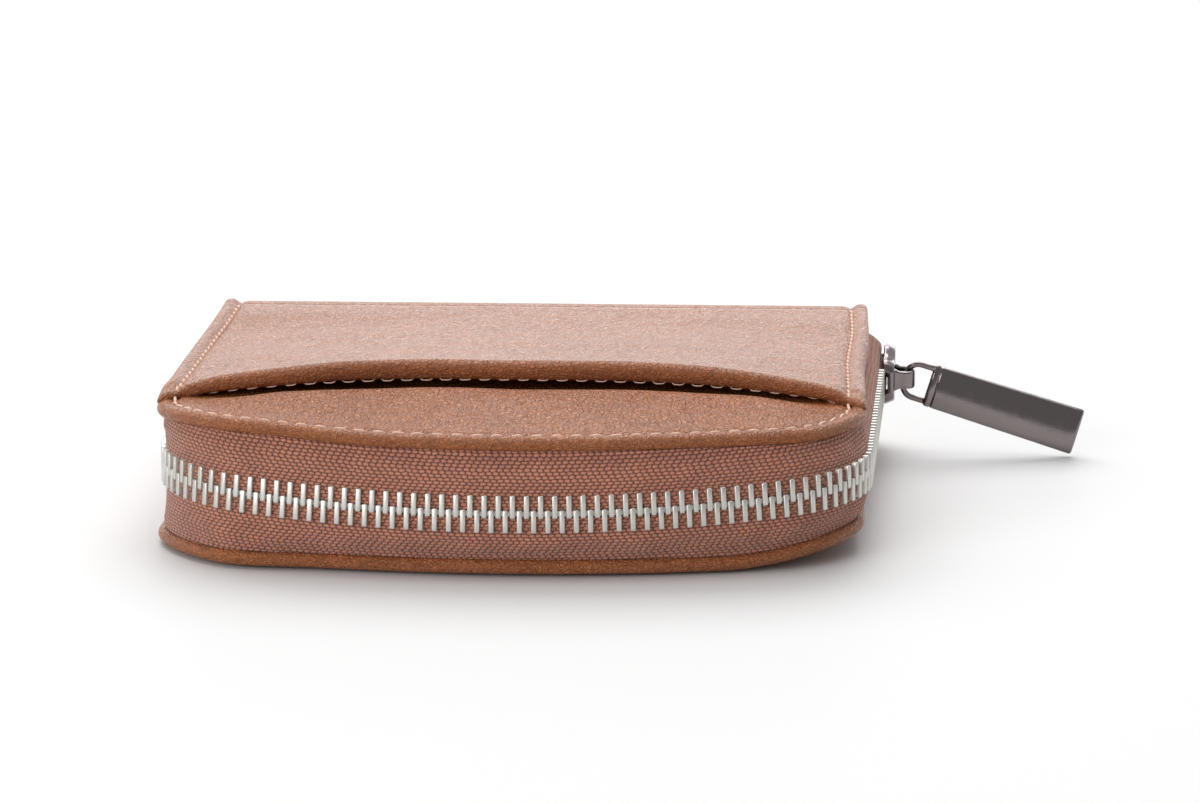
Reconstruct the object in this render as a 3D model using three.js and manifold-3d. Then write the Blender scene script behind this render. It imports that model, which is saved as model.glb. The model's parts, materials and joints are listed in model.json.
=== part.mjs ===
// Zip-around leather purse lying flat: two leather covers joined by a spine, a metal zip round the
// other three sides, a slip pocket on the top cover and card slots inside.
// Millimetres. X runs along the spine, +Y points to the spine and +Z is up. The origin is on the
// resting face, in the middle of the purse's plan. The zip pull stands out towards +X.
import * as THREE from "three";
import { mergeVertices } from "three/addons/utils/BufferGeometryUtils.js";
import Module from "manifold-3d";

const wasm = await Module();
wasm.setup();

// ---- Driving dimensions ----------------------------------------------------------------------
const DEPTH = 105; // front of the zip to the back of the spine
const THICKNESS = 22; // closed purse, without the slip pocket
const FRONT_RADIUS = 147.5; // the front bows out gently
const CORNER_RADIUS = 19.3;
const COVER_ANGLE = THREE.MathUtils.degToRad(16.7); // half angle of the covers' bow
const ZIP_ANGLE = THREE.MathUtils.degToRad(15.85); // the zip turns its corners a little sooner
const FLARE = THREE.MathUtils.degToRad(2.5); // and its right side leans out to the slider
const FRONT_Y = -DEPTH / 2;
const SPINE_Y = DEPTH / 2;

const LEATHER = 1.3;
const BOARD = 0.8;
const LINING = 0.4;
const LAYER_GAP = 0.3;
const COVER_INSET = 0.5; // cover edge inside its line
const TURNED_EDGE = 0.9; // the cover's edge is turned in once
const TURNED_INSET = 3.6; // inner edge of that turn
const INNER_INSET = 4.1; // boards and linings inside the covers' line

const TOOTH_PITCH = 2.15;
const TOOTH_THICKNESS = 2.7;
const CHAIN_HALF = 2.95; // half of the closed chain's width
const CORD_HALF = 1.9; // where the cord that carries the teeth begins
const CHAIN_GAP_HALF = 0.45; // half of the gap between the two rows
const CHAIN_Z_FRONT = 10.2; // the chain dips in the middle of the front
const CHAIN_Z_SIDE = 12.8; // the lid turns about this height at the spine
const TAPE = 0.6;
const TAPE_STRAIGHT = 5.8; // the tape stands straight this far from the chain's middle

const SLIDER_LENGTH = 10.6;
const SLIDER_TAIL_Y = 36.4; // front end of the slider with the zip closed
const SLIDER_PLATE = 1.1;
const SLIDER_CHANNEL = 1.75; // half of the room between the plates
const SLIDER_SLOT = 0.65; // half of the slot that the tape runs in
const SLIDER_TAIL_HALF = 3.7;
const SLIDER_MOUTH_HALF = 5.0;
const SLIDER_LIP = 0.65;
const DIAMOND_HALF = 0.2;
const BRIDGE_WIDTH = 3.0;
const BRIDGE_LENGTH = 5.5;
const BRIDGE_HEIGHT = 3.6;
const BRIDGE_BAR = 0.9;
const BRIDGE_LEG = 1.0;
const BRIDGE_CHAMFER = 1.4;

const PULL_DROOP = THREE.MathUtils.degToRad(17); // the pull hangs from the bridge to the table
const PULL_PIVOT = 1.4; // pull's turning axis above the slider's plate
const LOOP_WIDTH = 6.7;
const LOOP_LENGTH = 4.4;
const LOOP_WIRE = 0.9;
const LOOP_CORNER = 2.0;
const LOOP_THICKNESS = 1.0;
const TAB_LENGTH = 26.0;
const TAB_ROOT_WIDTH = 7.2;
const TAB_END_WIDTH = 7.8;
const TAB_THICKNESS = 1.9;

// ---- Materials -------------------------------------------------------------------------------
const material = (color, roughness, metalness = 0) =>
  new THREE.MeshStandardMaterial({ color, roughness, metalness });
const LEATHER_TAN = material(0x9c5f43, 0.55);
const LEATHER_INNER = material(0x8a543c, 0.6);
const LINING_CLOTH = material(0x6e4a3a, 0.85);
const BOARD_GREY = material(0x9a948a, 0.9);
const TAPE_BROWN = material(0x6f4435, 0.9);
const TEETH_NICKEL = material(0xc9c6bf, 0.35, 1);
const GUNMETAL = material(0x4a4548, 0.22, 1);

const purse = new THREE.Group();

function place(parent, name, geometry, finish) {
  const mesh = new THREE.Mesh(geometry, finish);
  mesh.name = name;
  parent.add(mesh);
  return mesh;
}

// ---- The covers' and the zip's lines in plan ----------------------------------------------------
// Half of a line round the front and the sides: half of a bowed front, a round corner and a
// straight side that leans outwards by the flare.
function planHalf(angle, flare) {
  const centre = {
    x: (FRONT_RADIUS - CORNER_RADIUS) * Math.sin(angle),
    y: FRONT_Y + FRONT_RADIUS - (FRONT_RADIUS - CORNER_RADIUS) * Math.cos(angle),
  };
  const sideAngle = Math.PI / 2 - flare;
  const frontRun = FRONT_RADIUS * angle;
  const cornerEnd = frontRun + CORNER_RADIUS * (sideAngle - angle);
  return { angle, flare, centre, sideAngle, frontRun, cornerEnd };
}

const COVER_HALF_LINE = planHalf(COVER_ANGLE, 0);
const COVER_LINE = { left: COVER_HALF_LINE, right: COVER_HALF_LINE };
const ZIP_LINE = { left: planHalf(ZIP_ANGLE, 0), right: planHalf(ZIP_ANGLE, FLARE) };

// Plan point at arc length s from the middle of the front, + to the right, with its outward normal.
function border(line, s, inset = 0) {
  const side = s < 0 ? -1 : 1;
  const half = s < 0 ? line.left : line.right;
  const run = Math.abs(s);
  let x, y, turn;
  if (run <= half.frontRun) {
    turn = run / FRONT_RADIUS;
    x = FRONT_RADIUS * Math.sin(turn);
    y = FRONT_Y + FRONT_RADIUS * (1 - Math.cos(turn));
  } else {
    turn = Math.min(half.angle + (run - half.frontRun) / CORNER_RADIUS, half.sideAngle);
    const past = Math.max(0, run - half.cornerEnd);
    x = half.centre.x + CORNER_RADIUS * Math.sin(turn) + past * Math.cos(turn);
    y = half.centre.y - CORNER_RADIUS * Math.cos(turn) + past * Math.sin(turn);
  }
  const normal = new THREE.Vector2(side * Math.sin(turn), -Math.cos(turn));
  return { x: side * x - inset * normal.x, y: y - inset * normal.y, normal };
}

// Arc length at which the side of a half line reaches a given y.
function sideRun(half, y) {
  const cornerY = half.centre.y - CORNER_RADIUS * Math.cos(half.sideAngle);
  return half.cornerEnd + (y - cornerY) / Math.cos(half.flare);
}

const ZIP_CORNER_X = ZIP_LINE.left.centre.x + CORNER_RADIUS;

function chainHeight(x) {
  const share = Math.min(1, Math.abs(x) / ZIP_CORNER_X);
  return CHAIN_Z_FRONT + (CHAIN_Z_SIDE - CHAIN_Z_FRONT) * share * share;
}

// ---- Shapes that several pieces share --------------------------------------------------------
// A sheet swept through stations. Each station is a line of points and the direction of its
// thickness, and the sheet's two faces lie half the thickness to each side.
function sheet(stations, thickness) {
  const count = stations[0].points.length;
  const ring = 2 * count;
  const position = [];
  for (const { points, across } of stations) {
    const half = across.clone().multiplyScalar(thickness / 2);
    const outer = points.map((p) => p.clone().add(half));
    const inner = points.map((p) => p.clone().sub(half)).reverse();
    for (const p of [...outer, ...inner]) position.push(p.x, p.y, p.z);
  }
  const index = [];
  const quad = (a, b, c, d) => index.push(a, b, c, a, c, d);
  for (let i = 0; i + 1 < stations.length; i++) {
    for (let k = 0; k < ring; k++) {
      const next = (k + 1) % ring;
      quad(i * ring + k, (i + 1) * ring + k, (i + 1) * ring + next, i * ring + next);
    }
  }
  const last = (stations.length - 1) * ring;
  for (let k = 0; k + 1 < count; k++) {
    quad(k, k + 1, ring - 2 - k, ring - 1 - k);
    quad(last + ring - 1 - k, last + ring - 2 - k, last + k + 1, last + k);
  }
  const geometry = new THREE.BufferGeometry();
  geometry.setAttribute("position", new THREE.Float32BufferAttribute(position, 3));
  geometry.setIndex(index);
  geometry.computeVertexNormals();
  return geometry;
}

// Purse-shaped outline in plan, inset from the covers' line, ending at rearY.
function purseOutline(inset, rearY) {
  const { x, y } = COVER_HALF_LINE.centre;
  const half = x + CORNER_RADIUS - inset;
  const right = 1.5 * Math.PI + COVER_ANGLE;
  const left = 1.5 * Math.PI - COVER_ANGLE;
  const shape = new THREE.Shape();
  shape.moveTo(-half, rearY);
  shape.lineTo(-half, y);
  shape.absarc(-x, y, CORNER_RADIUS - inset, Math.PI, left);
  shape.absarc(0, FRONT_Y + FRONT_RADIUS, FRONT_RADIUS - inset, left, right);
  shape.absarc(x, y, CORNER_RADIUS - inset, right, 2 * Math.PI);
  shape.lineTo(half, rearY);
  return shape;
}

function slab(shape, low, high) {
  const options = { depth: high - low, bevelEnabled: false, curveSegments: 10 };
  return new THREE.ExtrudeGeometry(shape, options).translate(0, 0, low);
}

function rectangle(x0, y0, x1, y1) {
  const shape = new THREE.Shape();
  shape.moveTo(x0, y0).lineTo(x1, y0).lineTo(x1, y1).lineTo(x0, y1);
  return shape;
}

function solid(geometry) {
  const bare = geometry.clone();
  bare.deleteAttribute("normal");
  bare.deleteAttribute("uv");
  const merged = mergeVertices(bare.index ? bare.toNonIndexed() : bare);
  const triVerts = new Uint32Array(merged.index.array);
  const vertProperties = merged.attributes.position.array;
  return new wasm.Manifold(new wasm.Mesh({ numProp: 3, vertProperties, triVerts }));
}

function joined(geometries) {
  const mesh = geometries.map(solid).reduce((sum, next) => sum.add(next)).getMesh();
  const geometry = new THREE.BufferGeometry();
  const position = new THREE.BufferAttribute(mesh.vertProperties, mesh.numProp);
  geometry.setAttribute("position", position);
  geometry.setIndex(new THREE.BufferAttribute(mesh.triVerts, 1));
  geometry.computeVertexNormals();
  return geometry;
}

// ---- Covers, boards and linings --------------------------------------------------------------
const COVER_REAR = SPINE_Y - LEATHER - LAYER_GAP;
const BOARD_LOW = LEATHER + LAYER_GAP;
const LINING_LOW = BOARD_LOW + BOARD + LAYER_GAP;
const INNER_LOW = LINING_LOW + LINING;
const INNER_REAR = COVER_REAR - 2;

// low, high: heights above the resting face for the bottom; the top cover mirrors them.
const mirrorZ = (z) => THICKNESS - z;

const TURNED_MIDDLE = LEATHER + LAYER_GAP + TURNED_EDGE / 2;
const EDGE_STEPS = 48;

function buildTurnedEdge(name, z) {
  const end = sideRun(COVER_HALF_LINE, COVER_REAR);
  const stations = [];
  for (let i = 0; i <= EDGE_STEPS; i++) {
    const s = end * ((2 * i) / EDGE_STEPS - 1);
    const points = [COVER_INSET, TURNED_INSET].map((inset) => {
      const p = border(COVER_LINE, s, inset);
      return new THREE.Vector3(p.x, Math.min(p.y, COVER_REAR), z);
    });
    stations.push({ points, across: new THREE.Vector3(0, 0, 1) });
  }
  place(purse, name, sheet(stations, TURNED_EDGE), LEATHER_TAN);
}

function buildCoverSet(side) {
  const layer = (name, inset, rear, low, high, finish) => {
    const [a, b] = side === "top" ? [mirrorZ(high), mirrorZ(low)] : [low, high];
    place(purse, `${side}_${name}`, slab(purseOutline(inset, rear), a, b), finish);
  };
  layer("cover", COVER_INSET, COVER_REAR, 0, LEATHER, LEATHER_TAN);
  buildTurnedEdge(`${side}_turned_edge`, side === "top" ? mirrorZ(TURNED_MIDDLE) : TURNED_MIDDLE);
  layer("board", INNER_INSET, INNER_REAR, BOARD_LOW, BOARD_LOW + BOARD, BOARD_GREY);
  layer("lining", INNER_INSET, INNER_REAR, LINING_LOW, INNER_LOW, LINING_CLOTH);
}

// ---- Spine -----------------------------------------------------------------------------------
const SPINE_HALF = COVER_HALF_LINE.centre.x + CORNER_RADIUS - COVER_INSET;
const SPINE_LINING_HALF = SPINE_HALF - 3.5;
const FOLD_GAP = 0.15; // half of the gap between the spine's two halves

// One leather strip and its lining, in two halves that part at the height the lid turns about.
function buildSpine() {
  const leather = rectangle(-SPINE_HALF, SPINE_Y - LEATHER, SPINE_HALF, SPINE_Y);
  const liningY = COVER_REAR - LINING;
  const lining = rectangle(-SPINE_LINING_HALF, liningY, SPINE_LINING_HALF, COVER_REAR);
  const liningLow = TURNED_MIDDLE + TURNED_EDGE / 2 + LAYER_GAP;
  const fold = CHAIN_Z_SIDE;
  place(purse, "spine_lower", slab(leather, 0, fold - FOLD_GAP), LEATHER_TAN);
  place(purse, "spine_upper", slab(leather, fold + FOLD_GAP, THICKNESS), LEATHER_TAN);
  place(purse, "spine_lining_lower", slab(lining, liningLow, fold - FOLD_GAP), LINING_CLOTH);
  const liningHigh = mirrorZ(liningLow);
  place(purse, "spine_lining_upper", slab(lining, fold + FOLD_GAP, liningHigh), LINING_CLOTH);
}

// ---- Slip pocket on the top cover ------------------------------------------------------------
const POCKET_HALF = SPINE_HALF - 0.2;
const POCKET_SIDE_Y = FRONT_Y + 26; // where the mouth meets the sides
const POCKET_MOUTH_SWEEP = 9.5; // the mouth is cut back this far in its middle
const POCKET_LIFT = 2.6; // and stands open this far
const POCKET_THICKNESS = 1.2;
const HEM_DEPTH = 3.2;
const HEM_THICKNESS = 1.9;

// Height that the pocket stands off the cover: most in the middle of the mouth, none at the seams.
function pocketLift(across, back) {
  const arch = Math.max(0, 1 - Math.pow(Math.abs(across), 3));
  return POCKET_LIFT * arch * Math.pow(1 - back, 2);
}

// A band of the pocket between two distances back from its mouth.
function pocketBand(from, to, steps, thickness) {
  const across = 16;
  const stations = [];
  for (let i = 0; i <= across; i++) {
    const u = (2 * i) / across - 1;
    const mouthY = POCKET_SIDE_Y + POCKET_MOUTH_SWEEP * (1 - u * u);
    const depth = COVER_REAR - mouthY;
    const points = [];
    for (let k = 0; k <= steps; k++) {
      const behind = from + (k / steps) * (Math.min(to, depth) - from);
      const z = THICKNESS + LAYER_GAP + thickness / 2 + pocketLift(u, behind / depth);
      points.push(new THREE.Vector3(u * POCKET_HALF, mouthY + behind, z));
    }
    stations.push({ points, across: new THREE.Vector3(0, 0, 1) });
  }
  return sheet(stations, thickness);
}

function buildSlipPocket() {
  const panelStart = HEM_DEPTH + LAYER_GAP;
  const panel = pocketBand(panelStart, DEPTH, 8, POCKET_THICKNESS);
  place(purse, "slip_pocket", panel, LEATHER_TAN);
  place(purse, "slip_pocket_hem", pocketBand(0, HEM_DEPTH, 1, HEM_THICKNESS), LEATHER_TAN);
}

// ---- Zip tape and teeth ----------------------------------------------------------------------
const TAPE_REAR = 49.6;
const CHAIN_END_LEFT = sideRun(ZIP_LINE.left, 43.5);
const LID_CLEARANCE = 1.4; // the lid's teeth swing back a little as it opens
const SLIDER_TAIL_RUN = sideRun(ZIP_LINE.right, SLIDER_TAIL_Y);
const SLIDER_MOUTH_RUN = SLIDER_TAIL_RUN + SLIDER_LENGTH;
const SEWN_INSET = 1.4; // the tape is sewn in under the cover's turned edge
const TAPE_SEWN_Z = TURNED_MIDDLE + TURNED_EDGE / 2 + LAYER_GAP;

// dir is +1 for the half on the top cover and -1 for the half on the bottom cover.
function buildTape(name, dir) {
  const steps = 84;
  const start = -sideRun(ZIP_LINE.left, TAPE_REAR);
  const end = sideRun(ZIP_LINE.right, TAPE_REAR);
  const stations = [];
  for (let i = 0; i <= steps; i++) {
    const s = start + (i / steps) * (end - start);
    const sewn = border(COVER_LINE, s, SEWN_INSET);
    const hung = border(ZIP_LINE, s);
    const middle = chainHeight(hung.x);
    const sewnZ = dir > 0 ? mirrorZ(TAPE_SEWN_Z) : TAPE_SEWN_Z;
    const at = (p, z) => new THREE.Vector3(p.x, p.y, z);
    const points = [
      at(sewn, sewnZ),
      at(hung, middle + dir * TAPE_STRAIGHT),
      at(hung, middle + dir * (CHAIN_HALF + LAYER_GAP)),
    ];
    const across = new THREE.Vector3(hung.normal.x, hung.normal.y, 0);
    stations.push({ points: dir > 0 ? points.reverse() : points, across });
  }
  place(purse, name, sheet(stations, TAPE), TAPE_BROWN);
}

// One row of teeth with the cord that they are clamped on. The rows are half a pitch apart.
function buildTeeth(name, dir, start, end) {
  const stations = [];
  const station = (s, reach) => {
    const p = border(ZIP_LINE, s);
    const middle = chainHeight(p.x);
    const heights = [middle + dir * reach, middle + dir * CHAIN_HALF];
    if (dir < 0) heights.reverse();
    const points = heights.map((z) => new THREE.Vector3(p.x, p.y, z));
    stations.push({ points, across: new THREE.Vector3(p.normal.x, p.normal.y, 0) });
  };
  const count = Math.floor((end - start) / TOOTH_PITCH);
  const offset = dir > 0 ? 0 : 0.5 * TOOTH_PITCH;
  const first = TOOTH_PITCH * Math.ceil((start - offset) / TOOTH_PITCH) + offset;
  station(start - 0.1, CORD_HALF);
  for (let tooth = 0; tooth < count; tooth++) {
    const s = first + tooth * TOOTH_PITCH;
    station(s, CORD_HALF);
    station(s + 0.5 * TOOTH_PITCH, CHAIN_GAP_HALF);
  }
  station(end, CORD_HALF);
  place(purse, name, sheet(stations, TOOTH_THICKNESS), TEETH_NICKEL);
}

// A metal stop crimped round the tape's edge at arc length s, between two heights.
function buildStop(name, s, low, high) {
  const length = 2.2;
  const thickness = 2.9;
  const p = border(ZIP_LINE, s);
  const z = chainHeight(p.x);
  const stop = new THREE.BoxGeometry(thickness, length, high - low);
  const mesh = place(purse, name, stop, TEETH_NICKEL);
  mesh.position.set(p.x, p.y, z + (low + high) / 2);
  mesh.rotation.z = s > 0 ? -FLARE : 0;
}

// ---- Card slots and inner pocket --------------------------------------------------------------
const SLOT_COUNT = 3;
const SLOT_STEP = 10;
const SLOT_SHEET = 0.5;
const SLOT_HALF = 42;
const SLOT_FRONT = FRONT_Y + 11;
const SLOT_MOUTH = 26; // mouth of the lowest slot

function buildInside() {
  for (let i = 0; i < SLOT_COUNT; i++) {
    const low = INNER_LOW + LAYER_GAP + i * (SLOT_SHEET + LAYER_GAP);
    const panel = rectangle(-SLOT_HALF, SLOT_FRONT, SLOT_HALF, SLOT_MOUTH - i * SLOT_STEP);
    place(purse, `card_slot_${i + 1}`, slab(panel, low, low + SLOT_SHEET), LEATHER_INNER);
  }
  const high = mirrorZ(INNER_LOW + LAYER_GAP);
  const note = rectangle(-SLOT_HALF, SLOT_FRONT, SLOT_HALF, SLOT_MOUTH);
  place(purse, "note_pocket", slab(note, high - SLOT_SHEET, high), LEATHER_INNER);
}

// ---- Slider ------------------------------------------------------------------------------------
// Built lying flat: X out of the purse, Y from the tail to the mouth and Z across the chain.
function sliderOutline() {
  const shoulder = 0.55 * SLIDER_LENGTH;
  const shape = new THREE.Shape();
  shape.moveTo(-SLIDER_TAIL_HALF + 0.6, 0).lineTo(SLIDER_TAIL_HALF - 0.6, 0);
  shape.lineTo(SLIDER_TAIL_HALF, 0.6).lineTo(SLIDER_TAIL_HALF, shoulder - 2);
  shape.lineTo(SLIDER_MOUTH_HALF, shoulder + 1).lineTo(SLIDER_MOUTH_HALF, SLIDER_LENGTH - 1.2);
  shape.lineTo(SLIDER_MOUTH_HALF - 1.6, SLIDER_LENGTH).lineTo(1.6 - SLIDER_MOUTH_HALF, SLIDER_LENGTH);
  shape.lineTo(-SLIDER_MOUTH_HALF, SLIDER_LENGTH - 1.2).lineTo(-SLIDER_MOUTH_HALF, shoulder + 1);
  shape.lineTo(-SLIDER_TAIL_HALF, shoulder - 2).lineTo(-SLIDER_TAIL_HALF, 0.6);
  return shape;
}

// Strip along one long edge of the slider's outline.
function lipOutline(side) {
  const shoulder = 0.55 * SLIDER_LENGTH;
  const shape = new THREE.Shape();
  const at = (z, y) => [side * z, y];
  shape.moveTo(...at(SLIDER_TAIL_HALF, 0.6)).lineTo(...at(SLIDER_TAIL_HALF, shoulder - 2));
  shape.lineTo(...at(SLIDER_MOUTH_HALF, shoulder + 1));
  shape.lineTo(...at(SLIDER_MOUTH_HALF, SLIDER_LENGTH - 1.2));
  shape.lineTo(...at(SLIDER_MOUTH_HALF - SLIDER_LIP, SLIDER_LENGTH - 1.2));
  shape.lineTo(...at(SLIDER_MOUTH_HALF - SLIDER_LIP, shoulder + 1));
  shape.lineTo(...at(SLIDER_TAIL_HALF - SLIDER_LIP, shoulder - 2));
  shape.lineTo(...at(SLIDER_TAIL_HALF - SLIDER_LIP, 0.6));
  return shape;
}

// An outline drawn in (across, along) becomes a plate between two distances out of the purse.
function plate(shape, low, high) {
  return slab(shape, low, high).applyMatrix4(
    new THREE.Matrix4().set(0, 0, 1, 0, 0, 1, 0, 0, -1, 0, 0, 0, 0, 0, 0, 1),
  );
}

const SLIDER_TOP = SLIDER_CHANNEL + SLIDER_PLATE;

function buildSlider() {
  const tail = border(ZIP_LINE, SLIDER_TAIL_RUN);
  const group = new THREE.Group();
  group.position.set(tail.x, tail.y, chainHeight(tail.x));
  group.rotation.z = -FLARE;
  purse.add(group);

  const overlap = 0.2; // joined pieces reach into each other
  const diamond = rectangle(-DIAMOND_HALF, SLIDER_LENGTH - 3.4, DIAMOND_HALF, SLIDER_LENGTH - 0.6);
  const pieces = [plate(diamond, -SLIDER_CHANNEL - overlap, SLIDER_CHANNEL + overlap)];
  for (const [low, high, lipLow, lipHigh] of [
    [SLIDER_CHANNEL, SLIDER_TOP, SLIDER_SLOT, SLIDER_CHANNEL + overlap],
    [-SLIDER_TOP, -SLIDER_CHANNEL, -SLIDER_CHANNEL - overlap, -SLIDER_SLOT],
  ]) {
    pieces.push(plate(sliderOutline(), low, high));
    for (const side of [-1, 1]) pieces.push(plate(lipOutline(side), lipLow, lipHigh));
  }
  place(group, "slider_body", joined(pieces), GUNMETAL);
  buildBridge(group);
  buildPull(group);
}

// The arch on the slider's outer plate that the pull's loop goes through.
function buildBridge(group) {
  const start = (SLIDER_LENGTH - BRIDGE_LENGTH) / 2;
  const base = SLIDER_TOP + LAYER_GAP;
  const inner = BRIDGE_HEIGHT - BRIDGE_BAR; // height of the opening
  const innerChamfer = 0.6;
  const far = BRIDGE_LENGTH - BRIDGE_LEG;
  const arch = new THREE.Shape();
  arch.moveTo(0, 0).lineTo(0, BRIDGE_HEIGHT - BRIDGE_CHAMFER);
  arch.lineTo(BRIDGE_CHAMFER, BRIDGE_HEIGHT).lineTo(BRIDGE_LENGTH - BRIDGE_CHAMFER, BRIDGE_HEIGHT);
  arch.lineTo(BRIDGE_LENGTH, BRIDGE_HEIGHT - BRIDGE_CHAMFER).lineTo(BRIDGE_LENGTH, 0);
  arch.lineTo(far, 0).lineTo(far, inner - innerChamfer).lineTo(far - innerChamfer, inner);
  arch.lineTo(BRIDGE_LEG + innerChamfer, inner).lineTo(BRIDGE_LEG, inner - innerChamfer);
  arch.lineTo(BRIDGE_LEG, 0);
  // The arch is drawn as (along, out), then stood up on the plate.
  const stand = new THREE.Matrix4().set(0, 1, 0, base, 1, 0, 0, start, 0, 0, 1, 0, 0, 0, 0, 1);
  const geometry = slab(arch, -BRIDGE_WIDTH / 2, BRIDGE_WIDTH / 2).applyMatrix4(stand);
  for (let i = 0; i < geometry.attributes.position.count; i += 3) swapCorners(geometry, i);
  place(group, "slider_bridge", geometry, GUNMETAL);
}

// Turning a drawing over swaps inside and outside, so each triangle's order is turned back.
function swapCorners(geometry, first) {
  const position = geometry.attributes.position;
  const a = new THREE.Vector3().fromBufferAttribute(position, first);
  const b = new THREE.Vector3().fromBufferAttribute(position, first + 1);
  position.setXYZ(first, b.x, b.y, b.z);
  position.setXYZ(first + 1, a.x, a.y, a.z);
}

// Pull: a flat loop through the bridge and a long tab, drawn as (out, across).
function buildPull(group) {
  const pull = new THREE.Group();
  pull.position.set(SLIDER_TOP + LAYER_GAP + PULL_PIVOT, SLIDER_LENGTH / 2, 0);
  pull.rotation.y = PULL_DROOP;
  group.add(pull);

  // The loop's closed end lies on the turning axis, half a wire each side of it.
  const end = -LOOP_WIRE / 2;
  const bend = LOOP_WIDTH / 2;
  const loop = new THREE.Shape();
  loop.moveTo(end + LOOP_LENGTH, -bend).lineTo(end + LOOP_LENGTH, bend);
  loop.lineTo(end + LOOP_CORNER, bend);
  loop.quadraticCurveTo(end, bend, end, bend - LOOP_CORNER).lineTo(end, LOOP_CORNER - bend);
  loop.quadraticCurveTo(end, -bend, end + LOOP_CORNER, -bend);
  const inner = bend - LOOP_WIRE;
  const near = end + LOOP_WIRE;
  const far = end + LOOP_LENGTH - LOOP_WIRE;
  const corner = LOOP_CORNER - LOOP_WIRE;
  const hole = new THREE.Path();
  hole.moveTo(far, -inner).lineTo(near + corner, -inner);
  hole.quadraticCurveTo(near, -inner, near, corner - inner).lineTo(near, inner - corner);
  hole.quadraticCurveTo(near, inner, near + corner, inner).lineTo(far, inner);
  loop.holes.push(hole);
  place(pull, "pull_loop", flat(loop, LOOP_THICKNESS), GUNMETAL);

  const root = end + LOOP_LENGTH + LAYER_GAP;
  const tip = root + TAB_LENGTH;
  const tab = new THREE.Shape();
  tab.moveTo(root, -TAB_ROOT_WIDTH / 2).lineTo(tip - 0.8, -TAB_END_WIDTH / 2);
  tab.lineTo(tip, 0.8 - TAB_END_WIDTH / 2).lineTo(tip, TAB_END_WIDTH / 2 - 0.8);
  tab.lineTo(tip - 0.8, TAB_END_WIDTH / 2).lineTo(root, TAB_ROOT_WIDTH / 2);
  place(pull, "pull_tab", flat(tab, TAB_THICKNESS), GUNMETAL);
}

// An outline drawn as (out, across) becomes a plate of that thickness, centred along the chain.
function flat(shape, thickness) {
  return slab(shape, -thickness / 2, thickness / 2).rotateX(Math.PI / 2);
}

// ---- Assembly ----------------------------------------------------------------------------------
buildCoverSet("bottom");
buildCoverSet("top");
buildSpine();
buildSlipPocket();
buildTape("upper_zip_tape", 1);
buildTape("lower_zip_tape", -1);
buildTeeth("upper_teeth", 1, LID_CLEARANCE - CHAIN_END_LEFT, SLIDER_TAIL_RUN - LID_CLEARANCE);
buildTeeth("lower_teeth", -1, -CHAIN_END_LEFT, SLIDER_MOUTH_RUN - 0.3);
const STOP_RUN = SLIDER_MOUTH_RUN + 1.5;
buildStop("upper_top_stop", STOP_RUN, CHAIN_GAP_HALF, CHAIN_HALF);
buildStop("lower_top_stop", STOP_RUN, -CHAIN_HALF, -CHAIN_GAP_HALF);
buildStop("bottom_stop", -CHAIN_END_LEFT - 1.5, -CHAIN_HALF, CHAIN_HALF);
buildInside();
buildSlider();

export default purse;
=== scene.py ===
"""The looks of a zip-around leather purse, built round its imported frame.

Shapes are worked out in millimetres and become metres when a mesh is made. X runs along the spine,
+Y points to the spine and +Z is up.
"""
import json
import math

import bmesh
import bpy
import numpy as np
from mathutils import Matrix, Vector, noise


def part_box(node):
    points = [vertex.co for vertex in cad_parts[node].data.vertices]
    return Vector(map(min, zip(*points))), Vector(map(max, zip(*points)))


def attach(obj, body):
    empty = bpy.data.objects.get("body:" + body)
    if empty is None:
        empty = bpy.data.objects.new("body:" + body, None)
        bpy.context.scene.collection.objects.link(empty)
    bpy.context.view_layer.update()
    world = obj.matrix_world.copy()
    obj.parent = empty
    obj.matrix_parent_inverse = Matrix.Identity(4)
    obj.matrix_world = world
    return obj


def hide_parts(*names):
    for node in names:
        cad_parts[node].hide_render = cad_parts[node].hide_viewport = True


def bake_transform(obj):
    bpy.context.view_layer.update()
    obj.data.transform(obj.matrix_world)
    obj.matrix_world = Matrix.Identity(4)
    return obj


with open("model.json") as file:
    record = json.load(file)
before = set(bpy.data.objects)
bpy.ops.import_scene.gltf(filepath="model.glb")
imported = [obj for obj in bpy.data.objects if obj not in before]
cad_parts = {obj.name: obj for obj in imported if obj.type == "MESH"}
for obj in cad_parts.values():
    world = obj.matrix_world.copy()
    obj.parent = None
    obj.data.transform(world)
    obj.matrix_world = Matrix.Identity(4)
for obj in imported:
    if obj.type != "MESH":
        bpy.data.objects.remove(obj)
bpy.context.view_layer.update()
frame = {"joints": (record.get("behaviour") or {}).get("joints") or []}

MM = 0.001


def box_mm(node):
    """Lowest and highest corners of a frame node, in millimetres."""
    low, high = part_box(node)
    return np.array(low) / MM, np.array(high) / MM


# ---- Sizes ----
COVER_LOW, COVER_HIGH = box_mm("top_cover")
COVER_HALF = COVER_HIGH[0]
COVER_FRONT = COVER_LOW[1]
COVER_TOP = COVER_HIGH[2]
SPINE_Y = box_mm("spine_upper")[1][1]
HINGE_Z = frame["joints"][0]["pos_m"][2] / MM

FRONT_RADIUS = 147.5  # the bowed front, in plan
CORNER_RADIUS = 19.3
COVER_ANGLE = math.radians(16.7)  # the covers' front turns this far on each side of its middle
ZIP_ANGLE = math.radians(15.85)
FLARE = math.radians(2.5)  # the zip's right side leans outwards
COVER_INSET = 0.5  # the covers' edge, in from their plan line
ZIP_FRONT_Y = COVER_FRONT - COVER_INSET
CHAIN_Z_FRONT = 10.2  # height of the zip's middle at the front

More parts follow.
